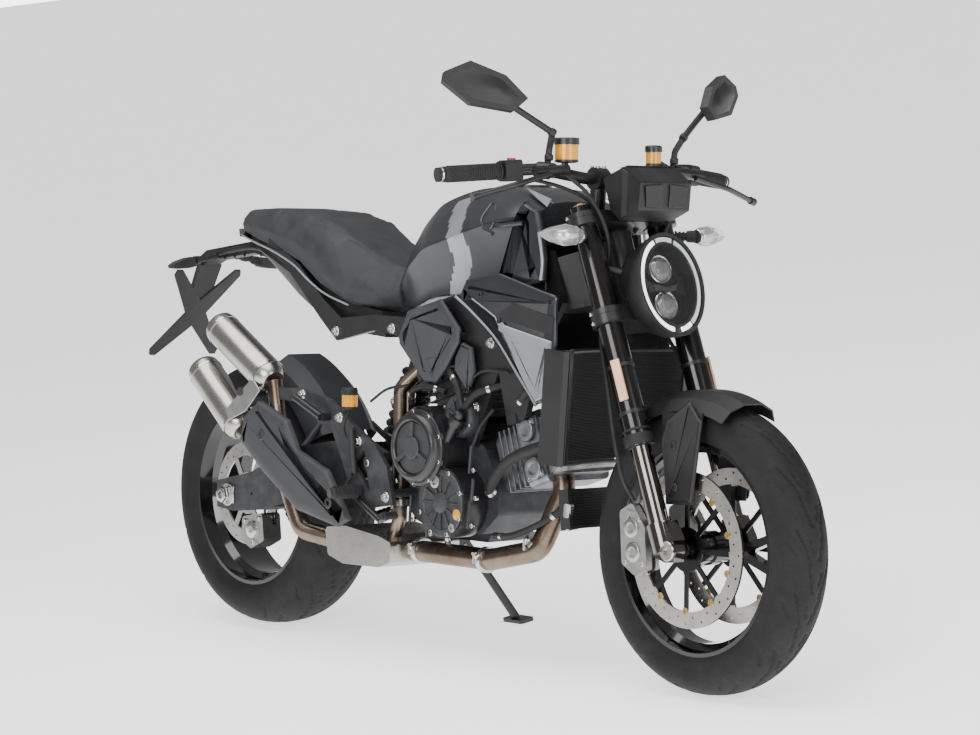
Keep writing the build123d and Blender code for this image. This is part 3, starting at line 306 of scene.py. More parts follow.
nodes["rear_cylinder"].data.materials.clear()
nodes["rear_cylinder"].data.materials.append(looks["casePaint"])
print("materials made")


def ringAt(bm, centre, side, up, radius, steps):
    if radius < 0.01:
        return [bm.verts.new(centre)]
    turns = [2 * math.pi * i / steps for i in range(steps)]
    return [bm.verts.new(centre + side * (radius * math.cos(t)) + up * (radius * math.sin(t))) for t in turns]


def joinRings(bm, first, second):
    count = max(len(first), len(second))
    for i in range(count):
        j = (i + 1) % count
        if len(first) == 1 and len(second) > 1:
            bm.faces.new((first[0], second[j], second[i]))
        elif len(second) == 1 and len(first) > 1:
            bm.faces.new((first[i], first[j], second[0]))
        elif len(first) > 1:
            bm.faces.new((first[i], first[j], second[j], second[i]))


def turnShape(bm, start, direction, profile, steps=32):  # profile is (along, radius) pairs
    axis = Vector(direction).normalized()
    side = axis.orthogonal().normalized()
    up = axis.cross(side)
    rings = [ringAt(bm, Vector(start) + axis * a, side, up, r, steps) for a, r in profile]
    for first, second in zip(rings, rings[1:]):
        joinRings(bm, first, second)
    for ring in (rings[0], rings[-1]):
        if len(ring) > 2:
            bm.faces.new(ring)


def smoothPath(points, steps=6):  # a soft line through the points
    points = [Vector(p) for p in points]
    ends = [points[0] * 2 - points[1]] + points + [points[-1] * 2 - points[-2]]
    path = []
    for a, b, c, d in zip(ends, ends[1:], ends[2:], ends[3:]):
        for i in range(steps):
            t = i / steps
            path.append(0.5 * (2 * b + (c - a) * t + (2 * a - 5 * b + 4 * c - d) * t * t
                               + (3 * b - a - 3 * c + d) * t ** 3))
    return path + [points[-1]]


def tubeShape(bm, points, radius, steps=10, samples=6):
    path = smoothPath(points, samples) if samples > 1 else [Vector(p) for p in points]
    side = (path[1] - path[0]).orthogonal().normalized()
    rings = []
    for i, place in enumerate(path):
        along = (path[min(i + 1, len(path) - 1)] - path[max(i - 1, 0)]).normalized()
        side = (side - along * side.dot(along)).normalized()
        rings.append(ringAt(bm, place, side, along.cross(side), radius, steps))
    for first, second in zip(rings, rings[1:]):
        joinRings(bm, first, second)
    bm.faces.new(rings[0])
    bm.faces.new(rings[-1])


def slabShape(bm, outline, depth):  # a plate: its outline in space and the way it is thick
    low = [bm.verts.new(Vector(p)) for p in outline]
    high = [bm.verts.new(Vector(p) + Vector(depth)) for p in outline]
    joinRings(bm, low, high)
    bm.faces.new(low)
    bm.faces.new(high)


def sheetShape(bm, rows):
    grid = [[bm.verts.new(Vector(p)) for p in row] for row in rows]
    for low, high in zip(grid, grid[1:]):
        for a, b, c, d in zip(low, low[1:], high[1:], high):
            bm.faces.new((a, b, c, d))
    return grid


def boltShape(bm, place, direction, radius=5.0, height=5.0):  # a socket-head bolt
    turnShape(bm, place, direction, (
        (-2, radius), (height - 0.8, radius), (height, radius - 0.8), (height, radius * 0.55),
        (height * 0.35, radius * 0.5), (height * 0.35, 0)), 14)


def makePiece(name, bm, look, body, hides=(), bevel=0.0, smooth=35.0):
    bmesh.ops.recalc_face_normals(bm, faces=bm.faces)
    bm.transform(machineMatrix @ Matrix.Scale(0.001, 4))
    mesh = bpy.data.meshes.new(name)
    bm.to_mesh(mesh)
    bm.free()
    mesh.shade_smooth()
    mesh.set_sharp_from_angle(angle=math.radians(smooth))
    for one in (look if isinstance(look, (tuple, list)) else (look,)):
        mesh.materials.append(looks[one])
    piece = bpy.data.objects.new(name, mesh)
    bpy.context.scene.collection.objects.link(piece)
    if bevel:
        edge = piece.modifiers.new("edges", "BEVEL")
        edge.width = bevel / 1000
        edge.segments = 2
        edge.limit_method = "ANGLE"
        edge.angle_limit = math.radians(38)
    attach(piece, body)
    if hides:
        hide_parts(*hides)
    return piece


# Tyres: a turned crown with cut grooves
tyres = {
    "front_tyre": {
        "axle": frontAxle, "body": "front_wheel", "repeats": 14, "reach": 60.0,
        "section": ((50, 219), (55.5, 226), (58.5, 238), (59.8, 252), (58.5, 265), (54, 276),
                    (46, 285.5), (34, 293), (18, 298.2), (0, 299.8)),
    },
    "rear_tyre": {
        "axle": rearAxle, "body": "rear_wheel", "repeats": 13, "reach": 90.0,
        "section": ((77, 219), (83, 228), (88, 242), (89.8, 256), (88.5, 270), (83, 283),
                    (72, 295), (55, 305), (30, 312.2), (0, 314.8)),
    },
}
tread = {
    "long": ((0.0, 0.10), (0.38, 0.30), (0.47, 0.26), (0.98, 0.66)),  # round, across, as shares
    "short": ((0.60, 0.74), (0.82, 0.93)),
    "inner": ((0.62, 0.16), (0.80, 0.26)),
    "width": 4.6,
    "depth": 3.6,
    "wall": 1.2,  # how far a groove's wall slopes
    "lowest": 262,  # no groove reaches further down the sidewall
    "crownRadius": 300,
    "turns": 560,
    "rows": 84,
}


def lineDistance(px, py, line):
    best = 1e9
    for (ax, ay), (bx, by) in zip(line, line[1:]):
        dx, dy = bx - ax, by - ay
        t = max(0, min(1, ((px - ax) * dx + (py - ay) * dy) / (dx * dx + dy * dy)))
        best = min(best, math.hypot(px - ax - dx * t, py - ay - dy * t))
    return best


def makeTyre(name, settings):
    half = [Vector((a, r, 0)) for a, r in settings["section"]]
    line = smoothPath(half, tread["rows"] // 18)
    crossing = [(p.x, p.y) for p in line] + [(-p.x, p.y) for p in reversed(line[:-1])]
    pitch = 2 * math.pi * tread["crownRadius"] / settings["repeats"]
    reach = settings["reach"]
    cuts = [[(u * pitch, v * reach) for u, v in tread[k]] for k in ("long", "short", "inner")]
    perRepeat = tread["turns"] // settings["repeats"]
    depths = []
    for i in range(perRepeat):
        row = []
        for across, radius in crossing:
            u = (i / perRepeat + (0.5 if across < 0 else 0)) % 1 * pitch
            gap = min(lineDistance(u + k * pitch, abs(across), c) for c in cuts for k in (-1, 0, 1))
            cut = max(0.0, min(1.0, (tread["width"] / 2 + tread["wall"] - gap) / 1.6))
            row.append(cut * tread["depth"] if radius > tread["lowest"] else 0)
        depths.append(row)
    bm = bmesh.new()
    total = perRepeat * settings["repeats"]
    rings = []
    for i in range(total):
        turn = 2 * math.pi * i / total
        ring = []
        for (across, radius), cut in zip(crossing, depths[i % perRepeat]):
            r = radius - cut
            ring.append(settings["axle"] + Vector((r * math.cos(turn), across, r * math.sin(turn))))
        rings.append(ring)
    grid = sheetShape(bm, rings)
    for a, b, c, d in zip(grid[-1], grid[-1][1:], grid[0][1:], grid[0]):
        bm.faces.new((a, b, c, d))
    makePiece(name + "_tread", bm, "tyreRubber", settings["body"], (name,), smooth=60)


for name, settings in tyres.items():
    makeTyre(name, settings)
print("tyres made")

# Seat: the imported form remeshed, swelled as padding under vinyl, then its seams pressed in
seat = {
    "voxel": 0.006,
    "smoothing": 12,
    "pressure": 4.0,
    "frames": 20,
    "cap": 0.006,  # the padding swells no further than this, in metres
    "seamWidth": 7.48,
    "seamDepth": 2.6,
    "seams": (
        ((237, 122, 955), (300, 112, 952), (367, 100, 938), (400, 86, 922), (442, 74, 905), (478, 56, 890)),
        ((478, 56, 890), (500, 30, 878), (508, 0, 876)),
        ((351, 137, 845), (351, 134, 878), (407, 124, 885), (455, 110, 872), (510, 84, 862),
         (548, 40, 852)),
        ((237, 122, 955), (120, 112, 962), (0, 96, 962), (-60, 60, 966)),
    ),
}


def makeSeat(settings):
    mesh = nodes["seat"].data.copy()
    mesh.name = "seatCushion"
    piece = bpy.data.objects.new("seatCushion", mesh)
    bpy.context.scene.collection.objects.link(piece)
    bpy.context.view_layer.objects.active = piece
    piece.select_set(True)
    mesh.remesh_voxel_size = settings["voxel"]
    bpy.ops.object.voxel_remesh()
    softening = piece.modifiers.new("softening", "SMOOTH")
    softening.factor = 0.5
    softening.iterations = settings["smoothing"]
    bpy.ops.object.modifier_apply(modifier=softening.name)
    rest = [v.co.copy() for v in piece.data.vertices]
    cloth = piece.modifiers.new("padding", "CLOTH")
    cloth.settings.use_pressure = True
    cloth.settings.uniform_pressure_force = settings["pressure"]
    cloth.settings.effector_weights.gravity = 0
    scene = bpy.context.scene
    for step in range(1, settings["frames"] + 1):
        scene.frame_set(step)
    bpy.ops.object.modifier_apply(modifier=cloth.name)
    scene.frame_set(1)
    for vertex, start in zip(piece.data.vertices, rest):
        move = vertex.co - start
        if move.length > settings["cap"]:
            vertex.co = start + move.normalized() * settings["cap"]
    rounding = piece.modifiers.new("rounding", "SUBSURF")
    rounding.levels = rounding.render_levels = 1
    bpy.ops.object.modifier_apply(modifier=rounding.name)
    seams = [[Vector(p) for p in smoothPath(s, 4)] for s in settings["seams"]]
    normals = [v.normal.copy() for v in piece.data.vertices]
    for vertex, normal in zip(piece.data.vertices, normals):
        place = uprightMatrix @ vertex.co * 1000
        place.y = abs(place.y)
        gap = 1e9
        for seam in seams:
            for a, b in zip(seam, seam[1:]):
                run = b - a
                share = max(0, min(1, (place - a).dot(run) / run.length_squared))
                gap = min(gap, (place - a - run * share).length)
            if gap < 0.3:
                break
        if gap < settings["seamWidth"]:
            press = (1 - gap / settings["seamWidth"]) ** 1.5
            vertex.co -= normal * press * settings["seamDepth"] / 1000
    piece.data.shade_smooth()
    piece.data.materials.clear()
    piece.data.materials.append(looks["seatVinyl"])
    piece.select_set(False)
    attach(piece, "chassis")
    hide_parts("seat")


makeSeat(seat)
print("seat made")

# Fuel tank: a skin with a hard shoulder line, knee hollows and a pale strip behind each crease
tank = {
    # the pale strip behind the knee crease: its width, how far out it starts, its height
    "paleStrip": 62,
    "stripAcross": 84,
    "stripHeights": (796, 1012),
    # along, top, shoulder across and up, widest across and up, low across and up
    "stations": (
        (568, 850, 52, 846, 78, 818, 62, 772),
        (600, 900, 62, 896, 92, 838, 74, 770),
        (640, 946, 70, 940, 111, 861, 88, 772),
        (680, 980, 72, 974, 124, 882, 100, 782),
        (720, 1004, 74, 998, 134, 902, 108, 792),
        (790, 1024, 75, 1018, 143, 918, 118, 800),
        (860, 1036, 75, 1030, 149, 934, 124, 808),
        (930, 1037, 76, 1031, 151, 950, 126, 834),
        (1000, 1033, 77, 1027, 152, 964, 128, 858),
        (1050, 1020, 80, 1014, 146, 968, 127, 886),
        (1094, 1003, 82, 996, 138, 966, 124, 912),
    ),
    "panelInset": 2.2,
    "panelFront": ((846, 987), (877, 921), (889, 874), (860, 816)),
}


def kneeLine(z):
    line = tank["panelFront"]
    for (xa, za), (xb, zb) in zip(line, line[1:]):
        if zb <= z <= za:
            return xb + (xa - xb) * (z - zb) / (za - zb)
    return line[0][0] - (z - line[0][1]) * 0.5 if z > line[0][1] else line[-1][0]


def makeTank(settings):
    columns = list(zip(*settings["stations"]))
    paths = []
    for column in columns[1:]:
        paths.append(smoothPath([Vector((x, v, 0)) for x, v in zip(columns[0], column)], 8))
    count = len(paths[0])
    rows = []
    for i in range(count):
        x = paths[0][i].x
        top, sy, sz, wy, wz, ly, lz = (p[i].y for p in paths)
        half = [(0, top), (sy * 0.5, top - 0.6), (sy - 3, top - 3.5), (sy + 1, sz - 2)]
        for k in range(1, 8):
            t = k / 8
            bulge = 4.5 * math.sin(math.pi * t)
            half.append((sy + (wy - sy) * t + bulge, sz + (wz - sz) * t + bulge * 0.6))
        half += [(wy - 0.5, wz + 2), (wy, wz - 2)]
        for k in range(1, 8):
            t = k / 8
            hollow = 5.0 * math.sin(math.pi * t)
            half.append((wy + (ly - wy) * t - hollow, wz + (lz - wz) * t))
        half += [(ly, lz + 2), (ly - 4, lz - 0.5), (ly * 0.5, lz), (0, lz)]
        row = []
        for y, z in half:
            inset = 0.0
            gap = kneeLine(z) - x
            if sy + 3 < y and lz + 6 < z < sz - 5:
                inset = max(0.0, min(1.0, gap / 5.0)) * settings["panelInset"]
            row.append((x, y - inset, z))
        rows.append(row)
    bm = bmesh.new()
    for side in (-1, 1):
        grid = sheetShape(bm, [[(x, side * y, z) for x, y, z in row] for row in rows])
        for ring in (grid[0], grid[-1]):
            bm.faces.new(ring)
    bmesh.ops.remove_doubles(bm, verts=bm.verts, dist=0.02)
    piece = makePiece("tankSkin", bm, ("tankPaint", "panelPaint"), "chassis", ("fuel_tank",),
                      smooth=28)
    low, high = settings["stripHeights"]
    for polygon in piece.data.polygons:
        place = uprightMatrix @ polygon.center * 1000
        strip = kneeLine(place.z) - settings["paleStrip"] < place.x < kneeLine(place.z)
        if abs(place.y) > settings["stripAcross"] and strip and low < place.z < high:
            polygon.material_index = 1
    return piece


makeTank(tank)
print("tank made")


# Silencers: two turned cans with seam rings, rounded end caps and dark outlets
silencers = {
    "cans": (((-14, -160, 716), (206, -160, 590)), ((-84, -160, 616), (90, -160, 470))),
    "radius": 41.0,
    "outlet": 25.0,
}


def makeSilencers(settings):
    shell, rings, bore = bmesh.new(), bmesh.new(), bmesh.new()
    big, hole = settings["radius"], settings["outlet"]
    for rear, front in settings["cans"]:
        run = Vector(front) - Vector(rear)
        far = run.length
        turnShape(shell, rear, run, (
            (3, hole), (0.5, hole + 2.5), (0, hole + 5), (2, big - 7), (7, big - 2.6), (14, big - 0.8),
            (22, big), (22.4, big - 0.8), (24, big - 0.8), (24.4, big), (far - 30, big), (far - 8, big - 7),
            (far, big - 15)), 56)
        turnShape(bore, rear, run, ((3, hole), (58, hole - 1), (58, 0)), 40)
        for along in (23.5, far - 31):
            turnShape(rings, Vector(rear) + run.normalized() * along, run, (
                (0, big - 1), (0.6, big + 1.0), (6.4, big + 1.0), (7, big - 1)), 56)
    makePiece("silencerCans", shell, "stainless", "chassis", ("silencers",))
    makePiece("silencerRings", rings, "brightSteel", "chassis")
    makePiece("silencerBores", bore, "softRubber", "chassis")
    bracket = bmesh.new()
    slabShape(bracket, [(x, -196, z) for x, z in ((176, 600), (206, 570), (150, 520), (84, 496),
                                                  (70, 520))],
              (0, -4, 0))
    makePiece("silencerBracket", bracket, "caliperMetal", "chassis", bevel=1.5)


makeSilencers(silencers)

# Heat shield: a dished plate standing off the link pipes
heatShield = {
    "outline": ((128, 452), (147, 511), (202, 548), (312, 507), (350, 441), (463, 402), (545, 296),
                (501, 277), (351, 304), (215, 387)),
    "rim": -188.0,
    "face": -206.0,
    "screws": ((225, 470), (480, 330)),
}


def dishShape(bm, outline, rim, face, rounds=((0.0, 0.0), (0.0, 0.55), (4.0, 0.85), (10.0, 1.0),
                                              (26.0, 1.12))):
    points = [Vector(p) for p in outline]
    path = []
    for i, b in enumerate(points):  # corners cut to arcs
        a, c = points[i - 1], points[(i + 1) % len(points)]
        for t in (0.22, 0.12, 0.04):
            path.append(b.lerp(a, t) * 0.94 + b.lerp(c, t) * 0.06)
        for t in (0.04, 0.12, 0.22):
            path.append(b.lerp(c, t) * 0.94 + b.lerp(a, t) * 0.06)
    middle = sum(path, Vector((0, 0))) / len(path)
    rings = []
    for inward, share in rounds:
        ring = []
        for i, p in enumerate(path):
            along = (path[(i + 1) % len(path)] - path[i - 1]).normalized()
            inner = Vector((-along.y, along.x))
            if inner.dot(middle - p) < 0:
                inner = -inner
            q = p + inner * inward
            ring.append(bm.verts.new((q.x, rim + (face - rim) * share, q.y)))
        rings.append(ring)
    for first, second in zip(rings, rings[1:]):
        joinRings(bm, first, second)
    bm.faces.new(rings[-1])


def makeHeatShield(settings):
    bm = bmesh.new()
    dishShape(bm, settings["outline"], settings["rim"], settings["face"])
    makePiece("heatShieldPlate", bm, "plasticGrey", "chassis", ("heat_shield",), smooth=50)
    screws = bmesh.new()
    for x, z in settings["screws"]:
        turnShape(screws, (x, -205, z), (0, -1, 0),
                  ((0, 13), (3, 13), (4.5, 11), (4.5, 5), (2, 4.5), (2, 0)), 32)
    makePiece("heatShieldScrews", screws, "coverPaint", "chassis")


makeHeatShield(heatShield)

# Rear plate arm: a slotted arm and a forked bracket with no plate on it
plateArm = {
    "arm": ((30, 866), (-60, 886), (-240, 868), (-286, 850), (-300, 872), (-262, 892), (-60, 916),
            (30, 894)),
    "rib": ((20, 26, 880), (-60, 30, 900), (-258, 26, 878)),
    "bracketCentre": (-346, 0, 738),
    "legEnds": ((88, 838), (92, 640)),  # across and up
    "legWidths": (26, 13),
    "eyelets": (-100, -140, -180),
}


def makePlateArm(settings):
    bm = bmesh.new()
    slabShape(bm, [(x, -24, z) for x, z in settings["arm"]], (0, 48, 0))
    for side in (-1, 1):
        # ribs along the arm's edges and the forked bracket's four legs
        tubeShape(bm, [(x, side * y, z) for x, y, z in settings["rib"]], 7, 8)
        for y, z in settings["legEnds"]:
            centre = Vector(settings["bracketCentre"])
            tip = Vector((-346 - (z - 738) * -0.56, side * y, z))
            out = (tip - centre).normalized()
            flat = Vector((-202, 0, 118)).normalized()
            across = out.cross(flat).normalized()
            wide, narrow = settings["legWidths"]
            slabShape(bm, [centre - across * wide, tip - across * narrow, tip + out * 10,
                           tip + across * narrow,
                           centre + across * wide], flat * -7)
            slabShape(bm, [centre - across * 3, tip - across * 3, tip + across * 3, centre + across * 3],
                      flat * 5)
    slabShape(bm, [(-286, -34, 862), (-286, 34, 862), (-352, 30, 742), (-352, -30, 742)], (10, 0, -6))
    makePiece("plateArmCasting", bm, "plasticBlack", "chassis", ("plate_holder",),
              bevel=1.6)
    lamps, stalks, holes = bmesh.new(), bmesh.new(), bmesh.new()
    for side in (-1, 1):
        turnShape(stalks, (-212, side * 22, 880), (0, side, -0.2), (
            (0, 9), (12, 9), (14, 7.5), (26, 7.5), (28, 9), (40, 9), (42, 7), (56, 7), (58, 10), (72, 12)),
            20)
        turnShape(lamps, (-212, side * 92, 865), (-0.02, side, -0.17), (
            (0, 10), (4, 17), (26, 18), (58, 13), (76, 6), (80, 0)), 4)
        for x in settings["eyelets"]:
            turnShape(holes, (x, side * 24.2, 891 + x * 0.08), (0, side, 0),
                      ((0, 6), (0.6, 6), (0.6, 4.4), (0, 4.4)), 20)
    makePiece("rearSignalStalks", stalks, "softRubber", "chassis")
    makePiece("rearSignalLamps", lamps, "plasticBlack", "chassis", bevel=2.5)
    makePiece("plateArmEyelets", holes, "chainSteel", "chassis")


makePlateArm(plateArm)

# Tail: a dark lamp under the seat's end and pale trim strips along the seat's lower edge
tail = {
    "lamp": ((-64, 30, 948), (-64, 62, 944), (-20, 90, 926), (-20, 40, 914)),
    "strip": ((-30, 84, 930), (60, 108, 912), (150, 122, 892), (236, 127, 862), (300, 130, 826),
              (364, 130, 796), (440, 122, 772)),
}


def makeTail(settings):
    lamp, strip = bmesh.new(), bmesh.new()
    for side in (-1, 1):
        slabShape(lamp, [(x, side * y, z) for x, y, z in settings["lamp"]], (-5, side * 3, 0))
        tubeShape(strip, [(x, side * y, z) for x, y, z in settings["strip"]], 2.2, 8)
    slabShape(lamp, [(-70, -30, 946), (-70, 30, 946), (-58, 26, 916), (-58, -26, 916)], (-5, 0, 0))
    makePiece("tailLamp", lamp, "smokedLens", "chassis", bevel=1.5)
    makePiece("seatTrim", strip, "panelPaint", "chassis")


makeTail(tail)
print("rear made")

# Headlight: a lit ring, two clear projectors with an angular bridge and a domed cover
headlight = {
    "centre": (1372, 0, 833),
    "tilt": 14.6,
    "ringOuter": (81, 100),
    "ringInner": (73, 91),
    "projectors": (38, -38),
}


def lightPoint(a, b, off):
    tilt = math.radians(headlight["tilt"])
    return Vector(headlight["centre"]) + Vector((
        math.cos(tilt) * off - math.sin(tilt) * b, a, math.sin(tilt) * off + math.cos(tilt) * b))


def bandShape(bm, outer, inner, low, high, first, last, steps):
    rows = []
    for i in range(steps + 1):
        t = math.radians(first + (last - first) * i / steps)
        c, s = math.cos(t), math.sin(t)
        rows.append([lightPoint(outer[0] * c, outer[1] * s, low),
                     lightPoint(outer[0] * c, outer[1] * s, high),
                     lightPoint(inner[0] * c, inner[1] * s, high),
                     lightPoint(inner[0] * c, inner[1] * s, low)])
    sheetShape(bm, [row + row[:1] for row in rows])


def makeHeadlight(settings):
    outer, inner = settings["ringOuter"], settings["ringInner"]
    ring, dim, dark = bmesh.new(), bmesh.new(), bmesh.new()
    bandShape(ring, outer, inner, -6, -3.4, 112, 262, 60)
    bandShape(ring, outer, inner, -6, -3.4, 278, 300, 12)
    bandShape(dim, outer, inner, -6, -3.4, 304, 428, 50)
    bandShape(dim, outer, inner, -6, -3.4, 74, 106, 14)
    makePiece("lampRingLit", ring, "ledWhite", "front_end")
    makePiece("lampRingDim", dim, "ledDim", "front_end")
    bandShape(dark, (90.6, 109.6), (84, 103), -8, 1.2, 0, 360, 90)  # bezel lip
    bandShape(dark, (72, 90), (67, 84), -8, -3, 0, 360, 90)
    # angular bridge and side wings between the projectors
    for side in (-1, 1):
        slabShape(dark, [lightPoint(side * 64, 26, -30), lightPoint(side * 34, 8, -22),
                         lightPoint(side * 30, -10, -22),
                         lightPoint(side * 62, -20, -30)], lightPoint(0, 0, -12) - lightPoint(0, 0, 0))
        slabShape(dark, [lightPoint(side * 52, 66, -34), lightPoint(side * 22, 78, -34),
                         lightPoint(side * 34, 20, -24)],
                  lightPoint(0, 0, -8) - lightPoint(0, 0, 0))
    slabShape(dark, [lightPoint(-34, 6, -20), lightPoint(0, -3, -14), lightPoint(34, 6, -20),
                     lightPoint(30, -8, -22),
                     lightPoint(0, -14, -18), lightPoint(-30, -8, -22)],
                     lightPoint(0, 0, -14) - lightPoint(0, 0, 0))
    makePiece("lampTrim", dark, "plasticBlack", "front_end", bevel=0.8)
    glass, bezel = bmesh.new(), bmesh.new()
    normal = lightPoint(0, 0, 1) - lightPoint(0, 0, 0)
    for up in settings["projectors"]:
        turnShape(glass, lightPoint(0, up, -28), normal, (
            (0, 25), (4, 24.6), (8, 22), (11, 17), (12.6, 10), (13, 0)), 40)
        turnShape(bezel, lightPoint(0, up, -28.5), normal, (
            (-6, 31), (1.5, 31), (3, 29), (2, 26), (0, 25.4), (-6, 25.4)), 40)
    makePiece("projectorGlass", glass, "lampClear", "front_end")
    makePiece("projectorRings", bezel, "brightSteel", "front_end")
    cover = bmesh.new()
    rings = []
    for share, off in ((0.999, -2.6), (0.94, -1.6), (0.8, -0.5), (0.6, 0.4), (0.35, 1.0), (0.12, 1.3)):
        rings.append([cover.verts.new(lightPoint(84.4 * share * math.cos(t), 103.4 * share * math.sin(t),
                                                 off))
                      for t in (2 * math.pi * i / 72 for i in range(72))])
    back = [[cover.verts.new(Vector(v.co) - normal * 1.6) for v in ring] for ring in rings]
    for first, second in list(zip(rings, rings[1:])) + list(zip(back, back[1:])):
        joinRings(cover, first, second)
    joinRings(cover, rings[0], back[0])
    cover.faces.new(rings[-1])
    cover.faces.new(back[-1])
    makePiece("lampCover", cover, "lensGlass", "front_end", ("headlight_lens",))


makeHeadlight(headlight)

# Fork: clamp rings at the yokes, top caps, a blank reflector, hoses and their clips
fork = {
    "ahead": 26.0,
    "half": 105.0,
    "radius": 27.5,
    "clampHeights": (797, 817, 1010, 1027),
    "reflectorHeight": 668.0,
    "hose": ((1222, 60, 800), (1262, 96, 716), (1312, 122, 620), (1350, 138, 520), (1368, 130, 440),
             (1362, 92, 392)),
    "hoseRadius": 4.2,
    "clipHeights": (600, 700),
}


def forkPoint(height, side, ahead=None):
    foot = frontAxle - steerAhead * (fork["ahead"] + 19)
    ground = foot - steerUp * (foot.z / math.cos(rake))
    return ground + steerUp * height + steerAhead * (fork["ahead"] if ahead is None else ahead) \
        + Vector((0, side * fork["half"], 0))


def makeFork(settings):
    clamps, bolts, caps, seals = bmesh.new(), bmesh.new(), bmesh.new(), bmesh.new()
    big = settings["radius"]
    for side in (-1, 1):
        for height in settings["clampHeights"]:
            place = forkPoint(height, side)
            turnShape(clamps, place - steerUp * 6, steerUp, (
                (0, big + 6), (0.8, big + 9.5), (11.2, big + 9.5), (12, big + 6)), 48)
            boltShape(bolts, place + Vector((0, side * (big + 8), 0)) - steerAhead * 10, (-0.3, side, 0.1),
                      4.2, 4)
        turnShape(caps, forkPoint(1047, side), steerUp,
                  ((0, 24), (3, 24), (4, 22), (4, 12), (9, 11), (9, 5), (5, 4.5), (5, 0)), 6)
        turnShape(seals, forkPoint(528, side), steerUp, (
            (0, 24), (2, 30.6), (8, 31.4), (24, 31.4), (30, 28.2)), 48)
        turnShape(seals, forkPoint(560, side), steerUp, ((0, 28), (1, 29), (5, 29), (6, 28)), 48)
    makePiece("forkClamps", clamps, "framePaint", "front_end")
    makePiece("forkBolts", bolts, "brightSteel", "front_end")
    makePiece("forkCaps", caps, "goldAnodised", "front_end")
    makePiece("forkSeals", seals, "softRubber", "front_end")
    plate = bmesh.new()
    for side in (-1, 1):
        out = Vector((0.5 * steerAhead.x, side * 0.87, 0.5 * steerAhead.z)).normalized()
        across = steerUp.cross(out).normalized()
        centre = forkPoint(settings["reflectorHeight"], side) + out * (big + 1.0)
        corners = [centre + across * a + steerUp * h for a,
                   h in ((-10, -44), (10, -44), (10, 44), (-10, 44))]
        slabShape(plate, corners, out * 5)
    makePiece("forkReflectors", plate, "reflector", "front_end", bevel=2)
    hoses, clips = bmesh.new(), bmesh.new()
    for side in (-1, 1):
        tubeShape(hoses, [(x, side * y, z) for x, y, z in settings["hose"]], settings["hoseRadius"], 10, 8)
        for height in settings["clipHeights"]:
            turnShape(clips, forkPoint(height, side) - steerUp * 4, steerUp, (
                (0, big + 0.4), (0.4, big + 1.8), (7.6, big + 1.8), (8, big + 0.4)), 40)
    makePiece("brakeHoses", hoses, "softRubber", "front_end")
    makePiece("hoseClips", clips, "framePaint", "front_end")


makeFork(fork)

# Discs: bobbins between each dark carrier and its bright band; caliper pistons, pads and bolts
discs = {"bobbins": 10, "bobbinRing": 124.5, "plane": 66.0}


def makeDiscs(settings):
    bobbins = bmesh.new()
    for side in (-1, 1):
        for i in range(settings["bobbins"]):
            turn = 2 * math.pi * (i + 0.5) / settings["bobbins"]
            place = frontAxle + Vector((math.cos(turn), 0, math.sin(turn))) * settings["bobbinRing"]
            turnShape(bobbins, place + Vector((0, side * (settings["plane"] + 2.6), 0)), (0, side, 0), (
                (-1, 7.6), (1.2, 7.6), (1.8, 7), (1.8, 3.4), (0.4, 3.2), (0.4, 0)), 24)
    makePiece("discBobbins", bobbins, "goldAnodised", "front_wheel")
    detail, bolts = bmesh.new(), bmesh.new()
    for side in (-1, 1):
        for x, z in ((1350, 334), (1356, 284)):
            turnShape(detail, (x, side * 87, z), (0, side, 0),
                      ((0, 21), (3, 21), (5, 18), (5, 10), (4, 9), (4, 0)), 36)
        slabShape(detail, [(x, side * 86, z) for x,
                           z in ((1322, 352), (1340, 372), (1352, 368), (1338, 344))], (0, side * 6, 0))
        for x, z in ((1372, 352), (1384, 262), (1334, 262), (1334, 356)):
            boltShape(bolts, (x, side * 87, z), (0, side, 0), 5, 4)
    makePiece("caliperBosses", detail, "caliperMetal", "front_end", bevel=0.8)
    makePiece("caliperBolts", bolts, "brightSteel", "front_end")
    axle = bmesh.new()
    turnShape(axle, (1492, -118.6, 299), (0, -1, 0), (
        (0, 20), (4.6, 20), (6, 18.4), (6, 11), (5.4, 10), (-6, 9), ), 48)
    makePiece("axleRing", axle, "brightSteel", "front_end")


makeDiscs(discs)
print("front made")


# Tank trim: nose panels, mesh intakes with their rims, the lower edge line as a bright tube that is a painted
# highlight, a pale front edge, and a pale slab at the top front that is a painted highlight
tankTrim = {
    "nose": ((1070, 1004), (1112, 984), (1124, 940), (1134, 880), (1130, 836), (1060, 822), (1000, 818)),
    "intake": ((930, 998), (950, 992), (984, 950), (974, 942), (934, 962)),
    # the bright line along the lower edge: a painted highlight
    "edge": ((880, 806), (1000, 809), (1100, 813), (1128, 818)),
    "frontEdge": ((1126, 938), (1137, 880), (1133, 838)),
}


def onBevel(x, z, side, off):  # a point on the tank's sloping flank
    low, high = (151, 948), (78, 1030)
    share = (high[1] - z) / (high[1] - low[1])
    y = high[0] + (low[0] - high[0]) * share + 5
    return Vector((x, side * (y + off * 0.75), z + off * 0.66))


